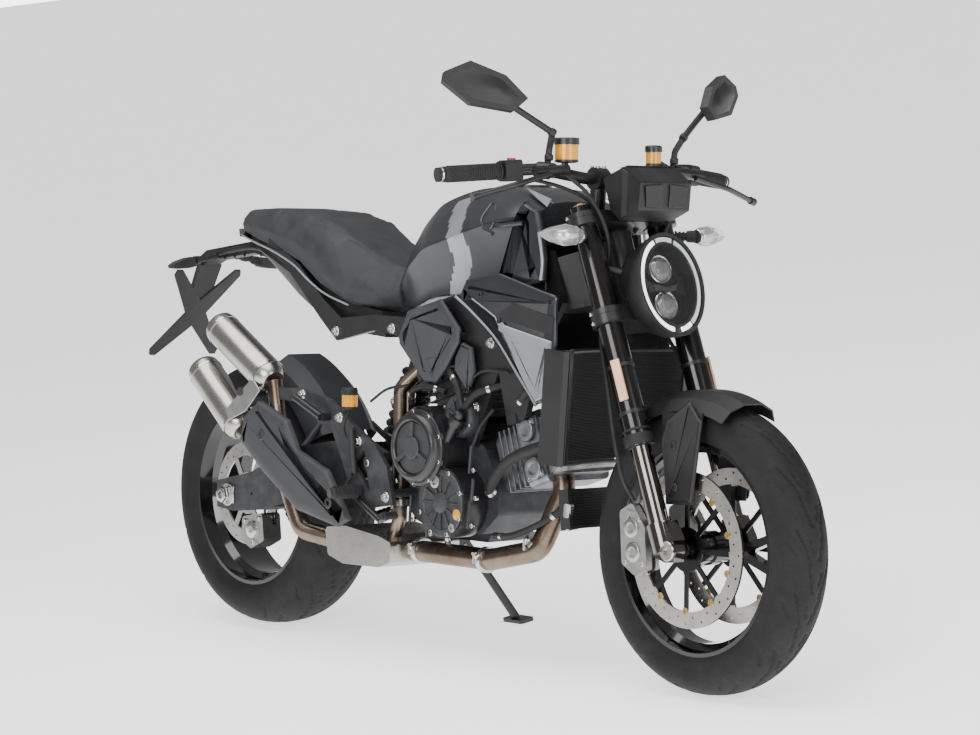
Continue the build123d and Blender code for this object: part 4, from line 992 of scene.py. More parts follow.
def makeTankTrim(settings):
    nose, mesh, rim, edge, pale = (bmesh.new() for _ in range(5))
    for side in (-1, 1):
        dishShape(nose, settings["nose"], side * 132, side * 150,
                  ((0, 0), (0, 0.4), (5, 0.85), (14, 1.0), (30, 1.05)))
        points = [onBevel(x, z, side, -1) for x, z in settings["intake"]]
        slabShape(mesh, points, onBevel(0, 0, side, 2.2) - onBevel(0, 0, side, 0))
        loop = [onBevel(x, z, side, 1.5) for x, z in settings["intake"]]
        tubeShape(rim, loop + loop[:1], 3.2, 8)
        tubeShape(rim, (onBevel(984, 952, side, 0), onBevel(1020, 950, side, 3),
                        onBevel(1075, 956, side, 1)), 5, 8)
        tubeShape(rim, (onBevel(960, 944, side, 0), onBevel(1000, 934, side, 1)), 5, 8)
        # a bright steel tube along the lower edge: a painted highlight line
        tubeShape(edge, [(x, side * 151.5, z) for x, z in settings["edge"]], 1.6, 8)
        tubeShape(pale, [(x, side * 149.5, z) for x, z in settings["frontEdge"]], 3.4, 8)
        # a pale slab on the tank's top front: a painted highlight
        slabShape(pale, [(1092, side * 84, 1006), (1010, side * 84, 1031), (1060, side * 100, 1010),
                         (1100, side * 104, 990)],
                  (0, side * 1.5, 2.5))
    makePiece("tankNose", nose, "tankPaint", "chassis", smooth=40)
    makePiece("tankIntakes", mesh, "intakeMesh", "chassis")
    makePiece("tankRims", rim, "tankPaint", "chassis")
    makePiece("tankEdgePaintedHighlight", edge, "brightSteel", "chassis")
    makePiece("tankFrontEdgeAndPaintedHighlight", pale, "panelPaint", "chassis", bevel=0.5)


makeTankTrim(tankTrim)

# Side cowls under the tank: a dark swoosh, a black opening and a bare pale triangle
sideCowls = {
    "main": ((884, 802), (906, 836), (1012, 852), (1200, 806), (1196, 700), (1160, 584), (1130, 574),
             (1010, 735)),
    "opening": ((1014, 762), (1062, 790), (1196, 762), (1192, 724), (1020, 756)),
    "triangle": ((1016, 748), (1190, 712), (1190, 672), (1160, 592), (1140, 586), (1100, 634)),
    "crease": ((874, 800), (930, 768), (1010, 712), (1080, 640), (1140, 578)),
    "innerCrease": ((930, 796), (1000, 762), (1016, 746), (1098, 634), (1142, 584)),
    "brackets": ((1080, 760), (1020, 815)),
}


def makeSideCowls(settings):
    main, opening, triangle, crease, carriers = (bmesh.new() for _ in range(5))
    for side in (-1, 1):
        dishShape(main, settings["main"], side * 158, side * 166,
                  ((0, 0), (0, 0.6), (3, 0.9), (8, 1.0), (20, 1.05)))
        dishShape(opening, settings["opening"], side * 165, side * 167.4, ((0, 0), (0, 1.0)))
        dishShape(triangle, settings["triangle"], side * 165, side * 170.6,
                  ((0, 0), (0, 0.6), (2, 1.0), (16, 0.85)))
        tubeShape(crease, [(x, side * 166, z) for x, z in settings["crease"]], 2.6, 8)
        tubeShape(crease, [(x, side * 166.5, z) for x, z in settings["innerCrease"]], 1.6, 8)
        for x, z in settings["brackets"]:
            turnShape(carriers, (x, side * 112, z), (0, side, 0), ((0, 9), (48, 9)), 20)
            boltShape(carriers, (x - 60, side * 167, z - 10), (0, side, 0), 5, 3)
    makePiece("cowlMain", main, "tankPaint", "chassis", ("side_panels",), smooth=40)
    makePiece("cowlOpening", opening, "finBlack", "chassis")
    makePiece("cowlTriangle", triangle, "panelPaint", "chassis", smooth=40)
    makePiece("cowlCrease", crease, "panelPaint", "chassis")
    makePiece("cowlBrackets", carriers, "framePaint", "chassis")


makeSideCowls(sideCowls)

# Grained covers over the frame behind the cowls
sideCovers = {
    "main": ((668, 764), (786, 794), (850, 728), (846, 700), (800, 640), (768, 610), (728, 610),
             (640, 690), (636, 706)),
    "triangle": ((742, 660), (776, 668), (764, 628)),
    "small": ((850, 700), (884, 690), (892, 640), (872, 588), (826, 640), (828, 668)),
    "brackets": ((700, 722), (840, 712)),
}


def makeSideCovers(settings):
    main, dark, carriers = bmesh.new(), bmesh.new(), bmesh.new()
    for side in (-1, 1):
        dishShape(main, settings["main"], side * 128, side * 137,
                  ((0, 0), (0, 0.5), (4, 0.9), (9, 1.0), (24, 1.2)))
        dishShape(main, settings["small"], side * 122, side * 131, ((0, 0), (0, 0.5), (3, 0.9), (7, 1.0)))
        dishShape(dark, settings["triangle"], side * 136, side * 139.4, ((0, 0), (0, 1.0), (3, 0.2)))
        for x, z in settings["brackets"]:
            turnShape(carriers, (x, side * 112, z), (0, side, 0), ((0, 9), (20, 9)), 20)
        for x, z in ((838, 716), (660, 712), (880, 600)):
            boltShape(carriers, (x, side * 132, z), (0, side, 0), 5, 5)
    makePiece("coverPlates", main, "plasticGrey", "chassis", ("side_plates",), smooth=45)
    makePiece("coverRecess", dark, "plasticBlack", "chassis")
    makePiece("coverBrackets", carriers, "framePaint", "chassis")


makeSideCovers(sideCovers)
print("bodywork made")

# Engine: ribbed covers, a bare clutch cover, fins, bolts, hoses and the struts round it
engine = {
    "clutch": (750, 468),
    "oil": (821, 352),
    "alternator": (814, 400),
    "ribbed": (842, 540),
    "side": 158.6,
    "tilts": (18.0, 108.0),
}


def makeClutchCover(settings):
    x, z = settings["clutch"]
    shell, inner, bolts = bmesh.new(), bmesh.new(), bmesh.new()
    turnShape(shell, (x, -158.8, z), (0, -1, 0), (
        (0, 84), (9, 84), (11, 82), (12, 78), (20, 76), (27, 72), (29.5, 68), (29.5, 62), (27, 59),
        (21, 57.5),
        (21, 0)), 96)
    turnShape(inner, (x, -179.4, z), (0, -1, 0), ((0, 56), (1.6, 56), (2.4, 55), (2.4, 0)), 72)
    for k in range(3):
        turn = math.radians(90 + 120 * k)
        along = Vector((math.cos(turn), 0, math.sin(turn)))
        across = Vector((-along.z, 0, along.x)) * 4
        start, end = Vector((x, -181.5, z)) + along * 22, Vector((x, -181.5, z)) + along * 57
        slabShape(inner, [start - across, end - across * 1.4, end + across * 1.4, start + across],
                  (0, -5.5, 0))
    turnShape(inner, (x, -181, z), (0, -1, 0), ((0, 25), (6, 25), (7.5, 23.5), (7.5, 0)), 56)
    for k in range(9):
        turn = math.radians(20 + 40 * k)
        boltShape(bolts, (x + 79.5 * math.cos(turn), -167, z + 79.5 * math.sin(turn)), (0, -1, 0), 4.6, 6)
        turnShape(shell, (x + 81 * math.cos(turn), -158.8, z + 81 * math.sin(turn)), (0, -1, 0),
                  ((0, 8.5), (7.5, 8.5), (8.3, 7.8)), 20)
    makePiece("clutchShell", shell, "coverPaint", "chassis", ("clutch_cover",), bevel=0.6)
    makePiece("clutchPlate", inner, "clutchGrey", "chassis", bevel=0.8)
    makePiece("clutchBolts", bolts, "brightSteel", "chassis")


def makeCovers(settings):
    ribs, bolts, silver, amber = bmesh.new(), bmesh.new(), bmesh.new(), bmesh.new()
    side = -settings["side"]
    x, z = settings["oil"]
    turnShape(ribs, (x, side + 0.5, z), (0, -1, 0),
              ((0, 74), (2.5, 74), (4, 72), (4, 60), (1, 57), (1, 24), (6, 22), (7, 20), (7, 0)), 72)
    for k in range(12):
        turn = math.radians(30 * k)
        along = Vector((math.cos(turn), 0, math.sin(turn)))
        across = Vector((-along.z, 0, along.x)) * 1.8
        start = Vector((x, side, z))
        slabShape(ribs, [start + along * 22 - across, start + along * 60 - across,
                         start + along * 60 + across,
                         start + along * 22 + across], (0, -3.6, 0))
    for k in range(8):
        turn = math.radians(45 * k - 70)
        if (x + 73 * math.cos(turn) - 750) ** 2 + (z + 73 * math.sin(turn) - 468) ** 2 > 92 ** 2:
            boltShape(bolts, (x + 72 * math.cos(turn), side - 1, z + 72 * math.sin(turn)), (0, -1, 0), 5, 6)
    x, z = settings["ribbed"]
    turnShape(ribs, (x, -92, z), (0, -1, 0), ((0, 50), (30, 48), (38, 46), (42, 42), (42, 34), (39, 31),
                                              (39, 0)), 56)
    for k in range(8):
        turn = math.radians(45 * k + 22)
        along = Vector((math.cos(turn), 0, math.sin(turn)))
        across = Vector((-along.z, 0, along.x)) * 2.2
        start = Vector((x, -130, z))
        slabShape(ribs, [start + along * 6 - across, start + along * 44 - across,
                         start + along * 44 + across,
                         start + along * 6 + across], (0, -6, 0))
        if k % 2:
            boltShape(bolts, start + along * 45 + Vector((0, -2, 0)), (0, -1, 0), 3.6, 4)
    # filler plug, sight glass and drain screws
    turnShape(silver, (806, side - 2, 398), (0, -1, 0),
              ((0, 15), (6, 15), (7, 13.5), (7, 8), (3, 7), (3, 0)), 28)
    turnShape(silver, (862, side - 1, 300), (0, -1, 0), ((0, 10), (5, 10), (6, 9), (6, 5), (3, 5), (3, 0)),
              6)
    turnShape(amber, (878, side - 2, 330), (0, -1, 0), ((0, 12), (3, 12), (4, 10), (4.4, 0)), 28)
    x, z = settings["alternator"]
    for k in range(6):
        turn = math.radians(60 * k + 10)
        boltShape(bolts, (x + 82 * math.cos(turn), 143.5, z + 82 * math.sin(turn)), (0, 1, 0), 5, 5)
    turnShape(ribs, (x, 143.5, z), (0, 1, 0), ((0, 76), (2, 75), (3, 72), (3, 50), (1, 48), (1, 0)), 64)
    # cast ribs and bosses on the crankcase
    for px, pz, length in ((700, 300, 60), (760, 272, 80), (900, 300, 60), (912, 360, 50), (905, 420, 60),
                           (640, 380, 60)):
        slabShape(ribs, [(px - 3, -147, pz), (px + 3, -147, pz), (px + 9, -147, pz + length),
                         (px + 3, -147, pz + length)], (0, -5, 0))
        boltShape(bolts, (px + 14, -147, pz + 8), (0, -1, 0), 5, 6)
    makePiece("coverRibs", ribs, "casePaint", "chassis", bevel=0.6)
    makePiece("coverBolts", bolts, "brightSteel", "chassis")
    makePiece("fillerPlugs", silver, "caliperMetal", "chassis")
    makePiece("sightGlass", amber, "amberFluid", "chassis")


def makeCylinders(settings):
    head, dark, bolts = bmesh.new(), bmesh.new(), bmesh.new()
    for index, tilt in enumerate(settings["tilts"]):
        angle = math.radians(tilt)
        along = Vector((math.cos(angle), 0, math.sin(angle)))
        up = Vector((-math.sin(angle), 0, math.cos(angle)))
        left = Vector((0, 1, 0))
        target = head if index == 0 else dark

        def place(a, u, y):
            return crank + along * a + up * u + left * y

        for k in range(5):  # fins round the barrel
            a = 136 + 17 * k
            slabShape(target, [place(a, -68, -74), place(a, 68, -74), place(a, 68, 74), place(a, -68, 74)],
                      along * 5)
        for side in (-1, 1):
            for u in (-56, 0, 56):  # pillars down the head's side with their bolts
                slabShape(target, [place(222, u - 9, side * 87.5), place(278, u - 7, side * 87.5),
                                   place(278, u + 7, side * 87.5), place(222, u + 9, side * 87.5)],
                                   left * side * 7)
                boltShape(bolts, place(270, u, side * 94), left * side, 4.6, 5)
                boltShape(bolts, place(232, u, side * 94), left * side, 4.6, 5)
            for u in (-42, 42):  # cam ends
                turnShape(target, place(250, u, side * 88), left * side, (
                    (0, 25), (9, 25), (12, 22), (12, 13), (8, 11), (8, 0)), 36)
            slabShape(target, [place(284, -62, side * 76), place(310, -56, side * 76),
                               place(310, 56, side * 76),
                               place(284, 62, side * 76)], left * side * 6)
        for u in (-50, -17, 17, 50):
            for y in (-70, 70):
                boltShape(bolts, place(316, u, y), along, 4.6, 5)
            slabShape(target, [place(316, u - 4, -56), place(316, u + 4, -56), place(316, u + 4, 56),
                               place(316, u - 4, 56)], along * 3)
    makePiece("frontHeadDetail", head, "castAluminium", "chassis", bevel=0.9)
    makePiece("rearHeadDetail", dark, "casePaint", "chassis", bevel=0.9)
    makePiece("headBolts", bolts, "brightSteel", "chassis")


# Hoses and wires beside the engine, drawn along points, and the clamps on the header
engineLines = {
    "hoses": (
        (((1172, -118, 502), (1120, -116, 492), (1040, -118, 470), (980, -118, 440), (930, -112, 392),
          (922, -96, 372)), 12),
        (((1168, -120, 640), (1110, -118, 622), (1050, -112, 600), (1000, -96, 560)), 11),
        (((960, -100, 612), (900, -128, 590), (868, -138, 560), (846, -134, 600), (800, -120, 640)), 8),
        (((640, -96, 560), (690, -132, 590), (740, -130, 600), (790, -122, 590)), 7),
        (((1160, 118, 640), (1080, 120, 600), (980, 118, 560), (900, 112, 520)), 11),
        (((1128, 70, 360), (1060, 90, 330), (980, 100, 300), (920, 96, 290)), 7),
        (((1128, -70, 360), (1070, -94, 320), (990, -104, 290), (930, -100, 286)), 7),
    ),
    "wires": (
        ((900, -140, 470), (930, -142, 520), (960, -130, 560)),
        ((560, -150, 560), (620, -150, 590), (680, -140, 600)),
        ((860, -120, 610), (920, -125, 640), (1000, -120, 640)),
        ((700, -120, 610), (760, -125, 640), (860, -118, 650)),
    ),
    "wireRadius": 3.2,
    "clamps": (
        ((1033, -72, 270), (40, 10, 38), 26),
        ((661, -88, 232), (1, 0, 0), 25.5),
        ((880, -84, 229), (1, 0, 0), 25.5),
        ((617, -110, 330), (0, 0, 1), 17.5),
    ),
}


def makeHoses(settings):
    hoses, clamps, steel, struts = (bmesh.new() for _ in range(4))
    for path, radius in settings["hoses"]:
        tubeShape(hoses, path, radius, 14, 8)
        line = smoothPath(path, 6)
        for i in (3, len(line) - 4):
            run = (line[i + 1] - line[i]).normalized()
            turnShape(clamps, line[i] - run * 4, run,
                      ((0, radius), (0, radius + 1.4), (8, radius + 1.4), (8, radius)), 24)
    for path in settings["wires"]:
        tubeShape(hoses, path, settings["wireRadius"], 8, 8)
    # the black strut from the frame down beside the clutch and its clamp
    turnShape(struts, (876, -150, 552), (-67, 0, -95), ((0, 8), (4, 11), (116, 11), (122, 8), (130, 8)), 24)
    turnShape(struts, (866, -150, 538), (-67, 0, -95), ((0, 15), (3, 16), (18, 16), (21, 15)), 24)
    turnShape(steel, (790, -150, 432), (0, -1, 0), ((0, 9), (6, 9), (6, 5), (3, 5), (3, 0)), 6)
    # clamps on the header and its sensor
    for place, run, radius in settings["clamps"]:
        turnShape(steel, place, run, ((0, radius), (0.5, radius + 3), (14, radius + 3), (14.5, radius)), 40)
        turnShape(steel, Vector(place) + Vector((0, -radius - 5, 0)), (0, 0, 1),
                  ((-8, 3.4), (12, 3.4), (12, 5.4), (17, 5.4)), 6)
    turnShape(steel, (760, -84, 252), (0, -0.4, 0.9), ((0, 9), (8, 9), (10, 7), (26, 7), (30, 4), (36, 3)),
              16)
    makePiece("engineHoses", hoses, "softRubber", "chassis")
    makePiece("hoseClamps", clamps, "brightSteel", "chassis")
    makePiece("exhaustClamps", steel, "brightSteel", "chassis")
    makePiece("engineStrut", struts, "framePaint", "chassis")


makeClutchCover(engine)
makeCovers(engine)
makeCylinders(engine)
makeHoses(engineLines)
print("engine made")

# Radiator: thin fins across the core, shrouds, tanks and a finned oil cooler
radiator = {
    "foot": (1204, 0, 462), "lean": 4.7, "height": 228.0, "pitch": 3.1, "half": 160,
    "coolerFoot": 322, "coolerFins": 14, "coolerPitch": 5.4,
}


def coreX(y):  # the core's front face is an arc, further forward at its sides
    return -18 + 40 * (y / 164) ** 2


def makeRadiator(settings):
    lean = math.radians(settings["lean"])
    up = Vector((math.sin(lean), 0, math.cos(lean)))
    foot = Vector(settings["foot"])
    fins, frameBars, pipes = bmesh.new(), bmesh.new(), bmesh.new()
    count = int(settings["height"] / settings["pitch"])
    across = range(-settings["half"], settings["half"] + 1, 16)
    for k in range(count):
        rows = []
        for off, lift in ((0.2, 0), (2.6, 0.7), (2.6, 1.5), (0.2, 2.2)):
            rows.append([foot + up * (2 + k * settings["pitch"] + lift)
                         + Vector((coreX(y) + off, y, 0)) for y in across])
        sheetShape(fins, rows)
    for side in (-1, 1):
        slabShape(frameBars, [foot + Vector((coreX(164) + 4, side * 158, 0)) + up * -6,
                              foot + Vector((coreX(164) + 6, side * 169, 0)) + up * -6,
                              foot + Vector((coreX(164) - 22, side * 172, 0)) + up * -6,
                              foot + Vector((coreX(164) - 22, side * 158, 0)) + up * -6], up * 240)
    tubeShape(frameBars, [foot + up * 231 + Vector((coreX(y), y, 0)) for y in (-160, -80, 0, 80, 160)], 6,
              10)
    tubeShape(pipes, [foot + up * -9 + Vector((coreX(y) - 2, y, 0)) for y in (-158, -80, 0, 80, 158)], 8,
              14)
    for k in range(settings["coolerFins"]):
        z = settings["coolerFoot"] + settings["coolerPitch"] * k
        slabShape(fins, [(1160.5 - 0.12 * (z - 355), -86, z), (1160.5 - 0.12 * (z - 355), 86, z),
                         (1164 - 0.12 * (z - 355), 86, z), (1164 - 0.12 * (z - 355), -86, z)], (0, 0, 2.2))
    for side in (-1, 1):
        turnShape(pipes, (1150, side * 84, 340), (0.1, 0, 1), ((0, 9), (2, 11), (28, 11), (30, 9)), 20)
    makePiece("radiatorFins", fins, "finBlack", "chassis", smooth=20)
    makePiece("radiatorBars", frameBars, "framePaint", "chassis", bevel=1.2)
    makePiece("radiatorPipe", pipes, "caliperMetal", "chassis")


makeRadiator(radiator)
print("cooling made")

# Fender stays, bolted outside the fender's sides
fender = {
    "stay": ((1446, 392), (1520, 396), (1548, 560), (1512, 600), (1448, 560), (1432, 520)),
    "bolts": ((1466, 508), (1472, 424)),
}


def makeFender(settings):
    stay, bolts = bmesh.new(), bmesh.new()
    for side in (-1, 1):
        dishShape(stay, settings["stay"], side * 78.6, side * 85, ((0, 0), (0, 0.5), (3, 0.95), (9, 0.7)))
        for x, z in settings["bolts"]:
            turnShape(bolts, (x, side * 83, z), (0, side, 0),
                      ((0, 9), (1.6, 9), (2.4, 8), (2.4, 4.5), (0.6, 4), (0.6, 0)), 24)
    makePiece("fenderStays", stay, "plasticBlack", "front_end", smooth=45)
    makePiece("fenderBolts", bolts, "framePaint", "front_end")


makeFender(fender)

# Handlebar controls: bottles, caps, grip ribs, bar ends, buttons, mirror glass, instrument screen
controls = {
    "barEnd": (1107, 401, 1053),
    "barTurn": (1172, 190, 1068),
    "ribs": 22,
    "clampBolts": (34, 52),
    # bottle: where its foot stands, radius and height
    "bottles": ((1196, -136, 1085, 24, 34), (1180, 125, 1083, 16, 27)),
    "cables": (
        ((1196, -136, 1082), (1206, -150, 1066), (1208, -160, 1062)),
        ((1180, 125, 1081), (1198, 140, 1070), (1206, 156, 1064)),
        ((1212, -150, 1056), (1252, -120, 1010), (1262, -80, 930), (1238, -56, 830)),
        ((1212, 150, 1056), (1252, 120, 1010), (1262, 80, 930), (1238, 56, 830)),
        ((1160, -196, 1046), (1200, -150, 1030), (1220, -90, 1000), (1214, -40, 940)),
        ((1160, 196, 1046), (1200, 150, 1030), (1220, 90, 1000), (1214, 40, 940)),
    ),
    "mirrorCentre": (1156, 329, 1224),
    # mirror glass: outwards and upwards from the head's centre
    "mirrorOutline": ((-82, -15), (-66, 16), (18, 36), (80, 18), (84, 0), (46, -36), (-28, -38)),
}


def makeControls(settings):
    amber, caps, ribs, weights, buttons, red = (bmesh.new() for _ in range(6))
    for x, y, z, radius, high in settings["bottles"]:
        turnShape(amber, (x, y, z), (0, 0, 1), ((1, radius - 2), (3, radius + 0.7), (high, radius + 0.7),
                                                (high, radius - 2)), 40)
        turnShape(caps, (x, y, z + high), (0, 0, 1), (
            (0, radius + 1), (0, radius + 2.6), (11, radius + 2.6), (13, radius + 1), (14.5, radius - 4),
            (14.5, 0)), 40)
        turnShape(caps, (x, y, z - 4), (0, 0, 1), ((0, radius - 6), (2, radius + 1.2), (5, radius + 1.2)),
                  40)
    for side in (-1, 1):
        end = Vector((settings["barEnd"][0], side * settings["barEnd"][1], settings["barEnd"][2]))
        turn = Vector((settings["barTurn"][0], side * settings["barTurn"][1], settings["barTurn"][2]))
        out = (end - turn).normalized()
        for k in range(settings["ribs"]):
            start = end - out * (128 - k * 5.2)
            turnShape(ribs, start, out, ((0, 16.6), (0.6, 17.6), (2.6, 17.6), (3.2, 16.6)), 32)
        turnShape(ribs, end - out * 133, out, ((0, 17), (1, 20), (4, 20), (5, 17)), 32)
        turnShape(weights, end + out * -4, out, ((0, 15.6), (3, 15.6), (4, 14.2), (9, 14.2), (11.5, 12),
                                                 (11.5, 5), (9, 4.6), (9, 0)), 32)
        base = end - out * 158
        for lift, ahead, size in ((10, -20, 5.5), (-4, -21, 5), (-16, -18, 4.5)):
            turnShape(buttons, base + Vector((ahead, 0, lift)), (-1, 0, 0.1),
                      ((0, size), (5, size), (6, size - 1), (6, 0)), 20)
        slabShape(buttons, [base + Vector((-22, side * 14, 12)), base + Vector((-22, side * 26, 12)),
                            base + Vector((-22, side * 26, -12)), base + Vector((-22, side * 14, -12))],
                            (-3, 0, 0))
        turnShape(buttons, Vector((1206, side * 196, 1058)), (0.2, 0, 1), ((-12, 6), (12, 6), (13, 4)), 6)
        if side < 0:
            turnShape(red, base + Vector((0, 0, 20)), (0, 0, 1), ((0, 9), (5, 9), (6, 8), (6, 0)), 24)
        for a in settings["clampBolts"]:
            for x in (1200, 1182):
                boltShape(weights, (x, side * a, 1074), (0.1, 0, 1), 4, 3.5)
    makePiece("fluidBottles", amber, "amberFluid", "front_end")
    makePiece("fluidCaps", caps, "framePaint", "front_end")
    makePiece("gripRibs", ribs, "softRubber", "front_end")
    makePiece("barEnds", weights, "brightSteel", "front_end")
    makePiece("barButtons", buttons, "plasticBlack", "front_end", bevel=0.6)
    makePiece("stopButton", red, "redButton", "front_end")
    cables = bmesh.new()
    for path in settings["cables"]:
        tubeShape(cables, path, 4.2, 10, 8)
    makePiece("barCables", cables, "softRubber", "front_end")
    glass, screen, bezel = bmesh.new(), bmesh.new(), bmesh.new()
    for side in (-1, 1):
        outward = Vector((-37, side * 75, 34)).normalized()
        backward = (Vector((-1, 0, 0)) - outward * Vector((-1, 0, 0)).dot(outward)).normalized()
        across = backward.cross(outward)
        x, y, z = settings["mirrorCentre"]
        centre = Vector((x, side * y, z))
        outline = settings["mirrorOutline"]
        points = [centre + outward * a + across * (side * b) + backward * 0.2 for a, b in outline]
        slabShape(glass, points, backward * 0.8)
        shell = [centre + outward * (a * 0.9) + across * (side * b * 0.86) - backward * 19.5 for a,
                 b in outline]
        dome = [centre + outward * (a * 0.5) + across * (side * b * 0.5) - backward * 27 for a,
                b in outline]
        first = [bezel.verts.new(p) for p in shell]
        second = [bezel.verts.new(p) for p in dome]
        joinRings(bezel, first, second)
        bezel.faces.new(second)
        for p, run in (((1208, side * 186, 1142), (-0.4, side * 0.9, 0.5)),
                       ((1188, side * 178, 1092), (0.1, 0, 1))):
            turnShape(bezel, p, run, ((-7, 7), (-5, 9.4), (5, 9.4), (7, 7)), 20)
    slabShape(screen, [(1236.5, -58, 1046), (1236.5, 58, 1046), (1260, 58, 990), (1260, -58, 990)],
              (-1.4, 0, -0.6))
    slabShape(bezel, [(1304, -66, 1074), (1304, 66, 1074), (1240, 60, 1051), (1240, -60, 1051)], (0, 0, 3))
    for side in (-1, 1):
        slabShape(bezel, [(1300, side * 72, 1070), (1350, side * 60, 1040), (1344, side * 58, 988),
                          (1296, side * 72, 968)],
                  (0, side * 4, 0))
        slabShape(bezel, [(1353, side * 10, 1038), (1353, side * 60, 1034), (1347, side * 52, 990),
                          (1347, side * 10, 990)],
                  (3, 0, 0))
    makePiece("mirrorGlass", glass, "mirrorGlass", "front_end")
    makePiece("dashScreen", screen, "screenGlass", "front_end")
    makePiece("dashShell", bezel, "plasticBlack", "front_end", bevel=2.2)


makeControls(controls)

# Front signals: clear diamonds on ribbed rubber stalks
signals = {"root": (1273, 166, 931), "tip": (1256, 266, 934)}


def makeSignals(settings):
    lamps, stalks, core = bmesh.new(), bmesh.new(), bmesh.new()
    for side in (-1, 1):
        root = Vector((settings["root"][0], side * settings["root"][1], settings["root"][2]))
        tip = Vector((settings["tip"][0], side * settings["tip"][1], settings["tip"][2]))
        run = tip - root
        turnShape(lamps, root, run, ((0, 12), (10, 20), (38, 23), (74, 15), (96, 5), (101, 0)), 8)
        turnShape(core, root + run * 0.12, run, ((0, 8), (8, 13), (30, 13), (46, 6), (50, 0)), 16)
        turnShape(core, root - run.normalized() * 3, run, ((0, 14), (1, 15), (4, 15), (5, 13)), 24)
        turnShape(stalks, (1240, side * 132, 931), root - Vector((1240, side * 132, 931)), (
            (0, 12), (4, 12), (5, 9), (8, 9), (9, 11), (12, 11), (13, 9), (16, 9), (17, 11), (20, 11),
            (21, 9), (24, 9),
            (25, 12), (34, 13), (44, 13)), 24)
    makePiece("signalLenses", lamps, "lampClear", "front_end", ("turn_signals",), bevel=2)
    makePiece("signalCores", core, "brightSteel", "front_end")
    makePiece("signalStalks", stalks, "softRubber", "front_end")


makeSignals(signals)
print("controls made")

# Rear wheel side: axle nut, adjusters, chain links, spring, brake bottle, pegs and frame bolts
runningGear = {
    "chainPlane": 105.0, "links": 112, "rearSprocket": 108.9, "frontSprocket": 40.7,
    "frontCentre": (665, 0, 425),
    # along, up and across, on both sides
    "frameBolts": (
        (383, 711, 113), (588, 722, 113), (930, 700, 113), (1010, 712, 112), (880, 560, 112),
        (600, 560, 112),
        (569, 423, 160), (640, 352, 168.5), (540, 470, 168.5), (470, 520, 168.5), (330, 566, 168.5),
    ),
    "springTurns": 8, "springRadius": 37, "wireRadius": 5.6,
    "bottleHose": ((527, -184, 542), (520, -190, 520), (508, -186, 500), (512, -182, 480),
                   (526, -181, 470)),
    "brakeHose": ((534, -181, 396), (500, -176, 372), (400, -150, 330), (260, -150, 306), (140, -128, 290),
                  (96, -104, 270)),
    "hoseRadius": 3.4,
}


def makeChain(settings):
    pitchA, pitchB = settings["rearSprocket"], settings["frontSprocket"]
    a, b = rearAxle, Vector(settings["frontCentre"])
    run = b - a
    tilt = math.atan2(run.z, run.x)
    lap = math.asin((pitchA - pitchB) / run.length)
    path = []
    for k in range(41):  # round the rear sprocket
        t = tilt + math.pi / 2 + lap + (math.pi + 2 * lap) * k / 40
        path.append(a + Vector((math.cos(t), 0, math.sin(t))) * pitchA)
    for k in range(21):  # round the front sprocket
        t = tilt - math.pi / 2 - lap + (math.pi + 2 * lap) * k / 20
        path.append(b + Vector((math.cos(t), 0, math.sin(t))) * pitchB)
    return path


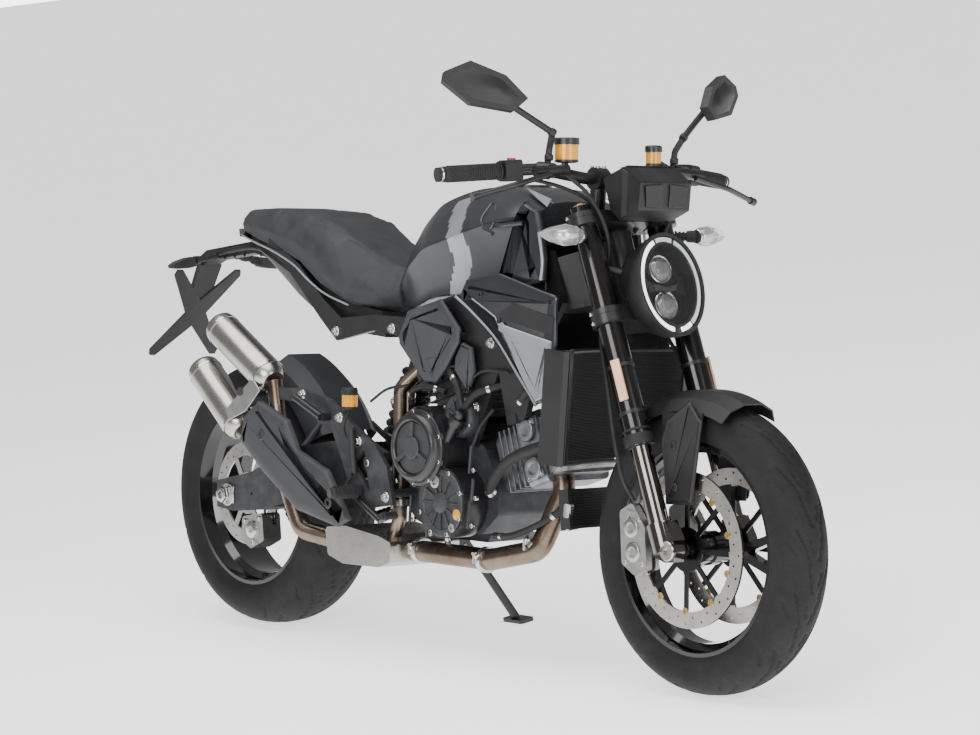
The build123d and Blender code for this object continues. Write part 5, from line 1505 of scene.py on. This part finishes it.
def makeRunningGear(settings):
    nuts, springs, pegs, bottle, hose, bolts = (bmesh.new() for _ in range(6))
    for side in (-1, 1):
        turnShape(nuts, (0, side * 154, 314), (0, side, 0),
                  ((0, 22), (3, 22), (4, 20), (10, 19), (11, 17), (11, 10), (8, 9.6), (-20, 9.2)), 6)
        turnShape(nuts, (0, side * 143, 314), (0, side, 0), ((0, 27), (2, 27), (3, 26), (3, 12)), 40)
        turnShape(nuts, (-46, side * 131, 314), (1, 0, 0), ((0, 5), (7, 5), (7, 3.4), (26, 3.4)), 6)
        slabShape(nuts, [(-26, side * 142.5, 334), (26, side * 142.5, 334), (26, side * 142.5, 294),
                         (-26, side * 142.5, 294)], (0, side * 2, 0))
        turnShape(pegs, (551, side * 172, 359), (-0.13, side, -0.02), (
            (0, 11), (2, 13), (70, 13), (74, 11), (76, 9)), 16)
        for k in range(7):
            turnShape(pegs, Vector((550 - k * 1.2, side * (180 + k * 9), 359)), (-0.13, side, -0.02),
                      ((0, 12.8), (1, 15), (4, 15), (5, 12.8)), 16)
        turnShape(pegs, (698, side * 188, 317), (0, side, 0), ((0, 7.4), (1, 9), (34, 9), (36, 7.4)), 20)
        for x, z, y in settings["frameBolts"]:
            turnShape(bolts, (x, side * y, z), (0, side, 0),
                      ((-2, 12), (2, 12), (3, 11), (3, 8), (8, 8), (9, 7), (9, 4.5), (5, 4), (5, 0)), 24)
    centre, axis = Vector((470, 0, 452)), Vector((90, 0, 188)).normalized()
    side = axis.orthogonal().normalized()
    coil = []
    for k in range(200):
        t = 2 * math.pi * settings["springTurns"] * k / 199
        swing = side * math.cos(t) + axis.cross(side) * math.sin(t)
        coil.append(centre + axis * (14 + 176 * k / 199) + swing * settings["springRadius"])
    tubeShape(springs, coil, settings["wireRadius"], 10, 1)
    turnShape(bottle, (527, -184, 546), (0, 0, 1), ((0, 14), (2, 17.6), (28, 17.6), (28, 14)), 32)
    turnShape(hose, (527, -184, 574), (0, 0, 1), ((0, 18.6), (11, 18.6), (13, 17), (15, 12), (15, 0)), 32)
    turnShape(hose, (527, -184, 540), (0, 0, 1), ((0, 14), (3, 18.4), (6, 18.4)), 32)
    tubeShape(hose, settings["bottleHose"], settings["hoseRadius"], 10, 8)
    tubeShape(hose, settings["brakeHose"], settings["hoseRadius"], 10, 8)
    for x, z in ((36, 252), (92, 262), (70, 204)):
        boltShape(bolts, (x, -118, z), (0, -1, 0), 6, 5)
    turnShape(bolts, (66, -117.5, 234), (0, -1, 0), ((0, 20), (5, 20), (7, 17), (7, 8), (4, 7), (4, 0)), 32)
    makePiece("axleNuts", nuts, "brightSteel", "chassis", bevel=0.6)
    makePiece("shockSpring", springs, "framePaint", "chassis")
    makePiece("pegRubbers", pegs, "softRubber", "chassis")
    makePiece("rearBrakeBottle", bottle, "amberFluid", "chassis")
    makePiece("rearBrakeHose", hose, "softRubber", "chassis")
    makePiece("frameBolts", bolts, "brightSteel", "chassis")
    links = bmesh.new()
    path = makeChain(settings)
    path.append(path[0])
    lengths = [(q - p).length for p, q in zip(path, path[1:])]
    total = sum(lengths)
    points = []
    for k in range(settings["links"]):
        left = total * k / settings["links"]
        i = 0
        while left > lengths[i]:
            left -= lengths[i]
            i += 1
        points.append(path[i].lerp(path[i + 1], left / lengths[i]))
    for k, p in enumerate(points):
        q = points[(k + 1) % len(points)]
        run = (q - p).normalized()
        up = Vector((-run.z, 0, run.x))
        off = 7.6 if k % 2 else 6.0
        for side in (-1, 1):
            y = Vector((0, settings["chainPlane"] + side * off, 0))
            outline = [p + y - run * 6.4 + up * 3, p + y - run * 3 + up * 6.4, p + y + run * 3 + up * 6.6,
                       (p + q) / 2 + y + up * 4.6,
                       q + y - run * 3 + up * 6.6, q + y + run * 3 + up * 6.4, q + y + run * 6.4 + up * 3,
                       q + y + run * 6.4 - up * 3, q + y + run * 3 - up * 6.4, q + y - run * 3 - up * 6.6,
                       (p + q) / 2 + y - up * 4.6,
                       p + y + run * 3 - up * 6.6, p + y - run * 3 - up * 6.4, p + y - run * 6.4 - up * 3]
            slabShape(links, outline, (0, side * 1.4, 0))
        turnShape(links, p + Vector((0, settings["chainPlane"] - 9, 0)), (0, 1, 0), ((0, 2.6), (18, 2.6)),
                  8)
        turnShape(links, p + Vector((0, settings["chainPlane"] - 4.8, 0)), (0, 1, 0), ((0, 5), (9.6, 5)),
                  12)
    makePiece("chainLinks", links, "chainSteel", "chassis", ("chain",))


makeRunningGear(runningGear)
print("running gear made")


# Studio: a pale seamless floor, an even white room and three soft boxes
studio = {
    "floorHalf": 400.0,
    "floorTone": ("#f2f2f2", "#f6f6f6"),
    "floorGlow": 1.25,
    "air": ("#ffffff", 0.3),
    "backdrop": 5.0,
    "boxes": (
        ("topSoftbox", (0.2, -0.6, 3.6), (0, 0, 0.4), (4.2, 3.0), 150),
        ("keySoftbox", (1.8, -3.6, 2.2), (0.1, 0, 0.5), (2.2, 1.8), 90),
        ("frontSoftbox", (4.2, -0.4, 1.6), (0.3, 0, 0.5), (1.6, 2.2), 60),
    ),
}


def makeStudio(settings):
    half = settings["floorHalf"]
    mesh = bpy.data.meshes.new("studioFloor")
    mesh.from_pydata([(-half, -half, 0), (half, -half, 0), (half, half, 0), (-half, half, 0)], [],
                     [(0, 1, 2, 3)])
    floor = bpy.data.objects.new("studioFloor", mesh)
    bpy.context.scene.collection.objects.link(floor)
    low, high = settings["floorTone"]
    # Matt photo paper: even, almost white, with a faint fibre
    mesh.materials.append(finish("photoPaper", low, 0.9, 400.0, 0.01, 900.0, second=high,
                                 Emission_Color=(1, 1, 1, 1), Emission_Strength=settings["floorGlow"]))
    world = bpy.data.worlds.new("studioAir")
    bpy.context.scene.world = world
    world.use_nodes = True
    background = world.node_tree.nodes["Background"]
    background.inputs["Color"].default_value = hexColor(settings["air"][0])
    # the backdrop seen by the camera is lit more than the air round the machine
    seen = addNode(world.node_tree, "ShaderNodeLightPath").outputs["Is Camera Ray"]
    strength = addNode(world.node_tree, "ShaderNodeMapRange", {
        0: seen, 1: 0.0, 2: 1.0, 3: settings["air"][1], 4: settings["backdrop"]}).outputs[0]
    world.node_tree.links.new(strength, background.inputs["Strength"])
    for name, place, target, size, power in settings["boxes"]:
        data = bpy.data.lights.new(name, "AREA")
        data.shape = "RECTANGLE"
        data.size, data.size_y = size
        data.energy = power
        lamp = bpy.data.objects.new(name, data)
        bpy.context.scene.collection.objects.link(lamp)
        lamp.location = Vector(place)
        lamp.rotation_mode = "QUATERNION"
        lamp.rotation_quaternion = (Vector(target) - Vector(place)).to_track_quat("-Z", "Y")


makeStudio(studio)
print("studio made")
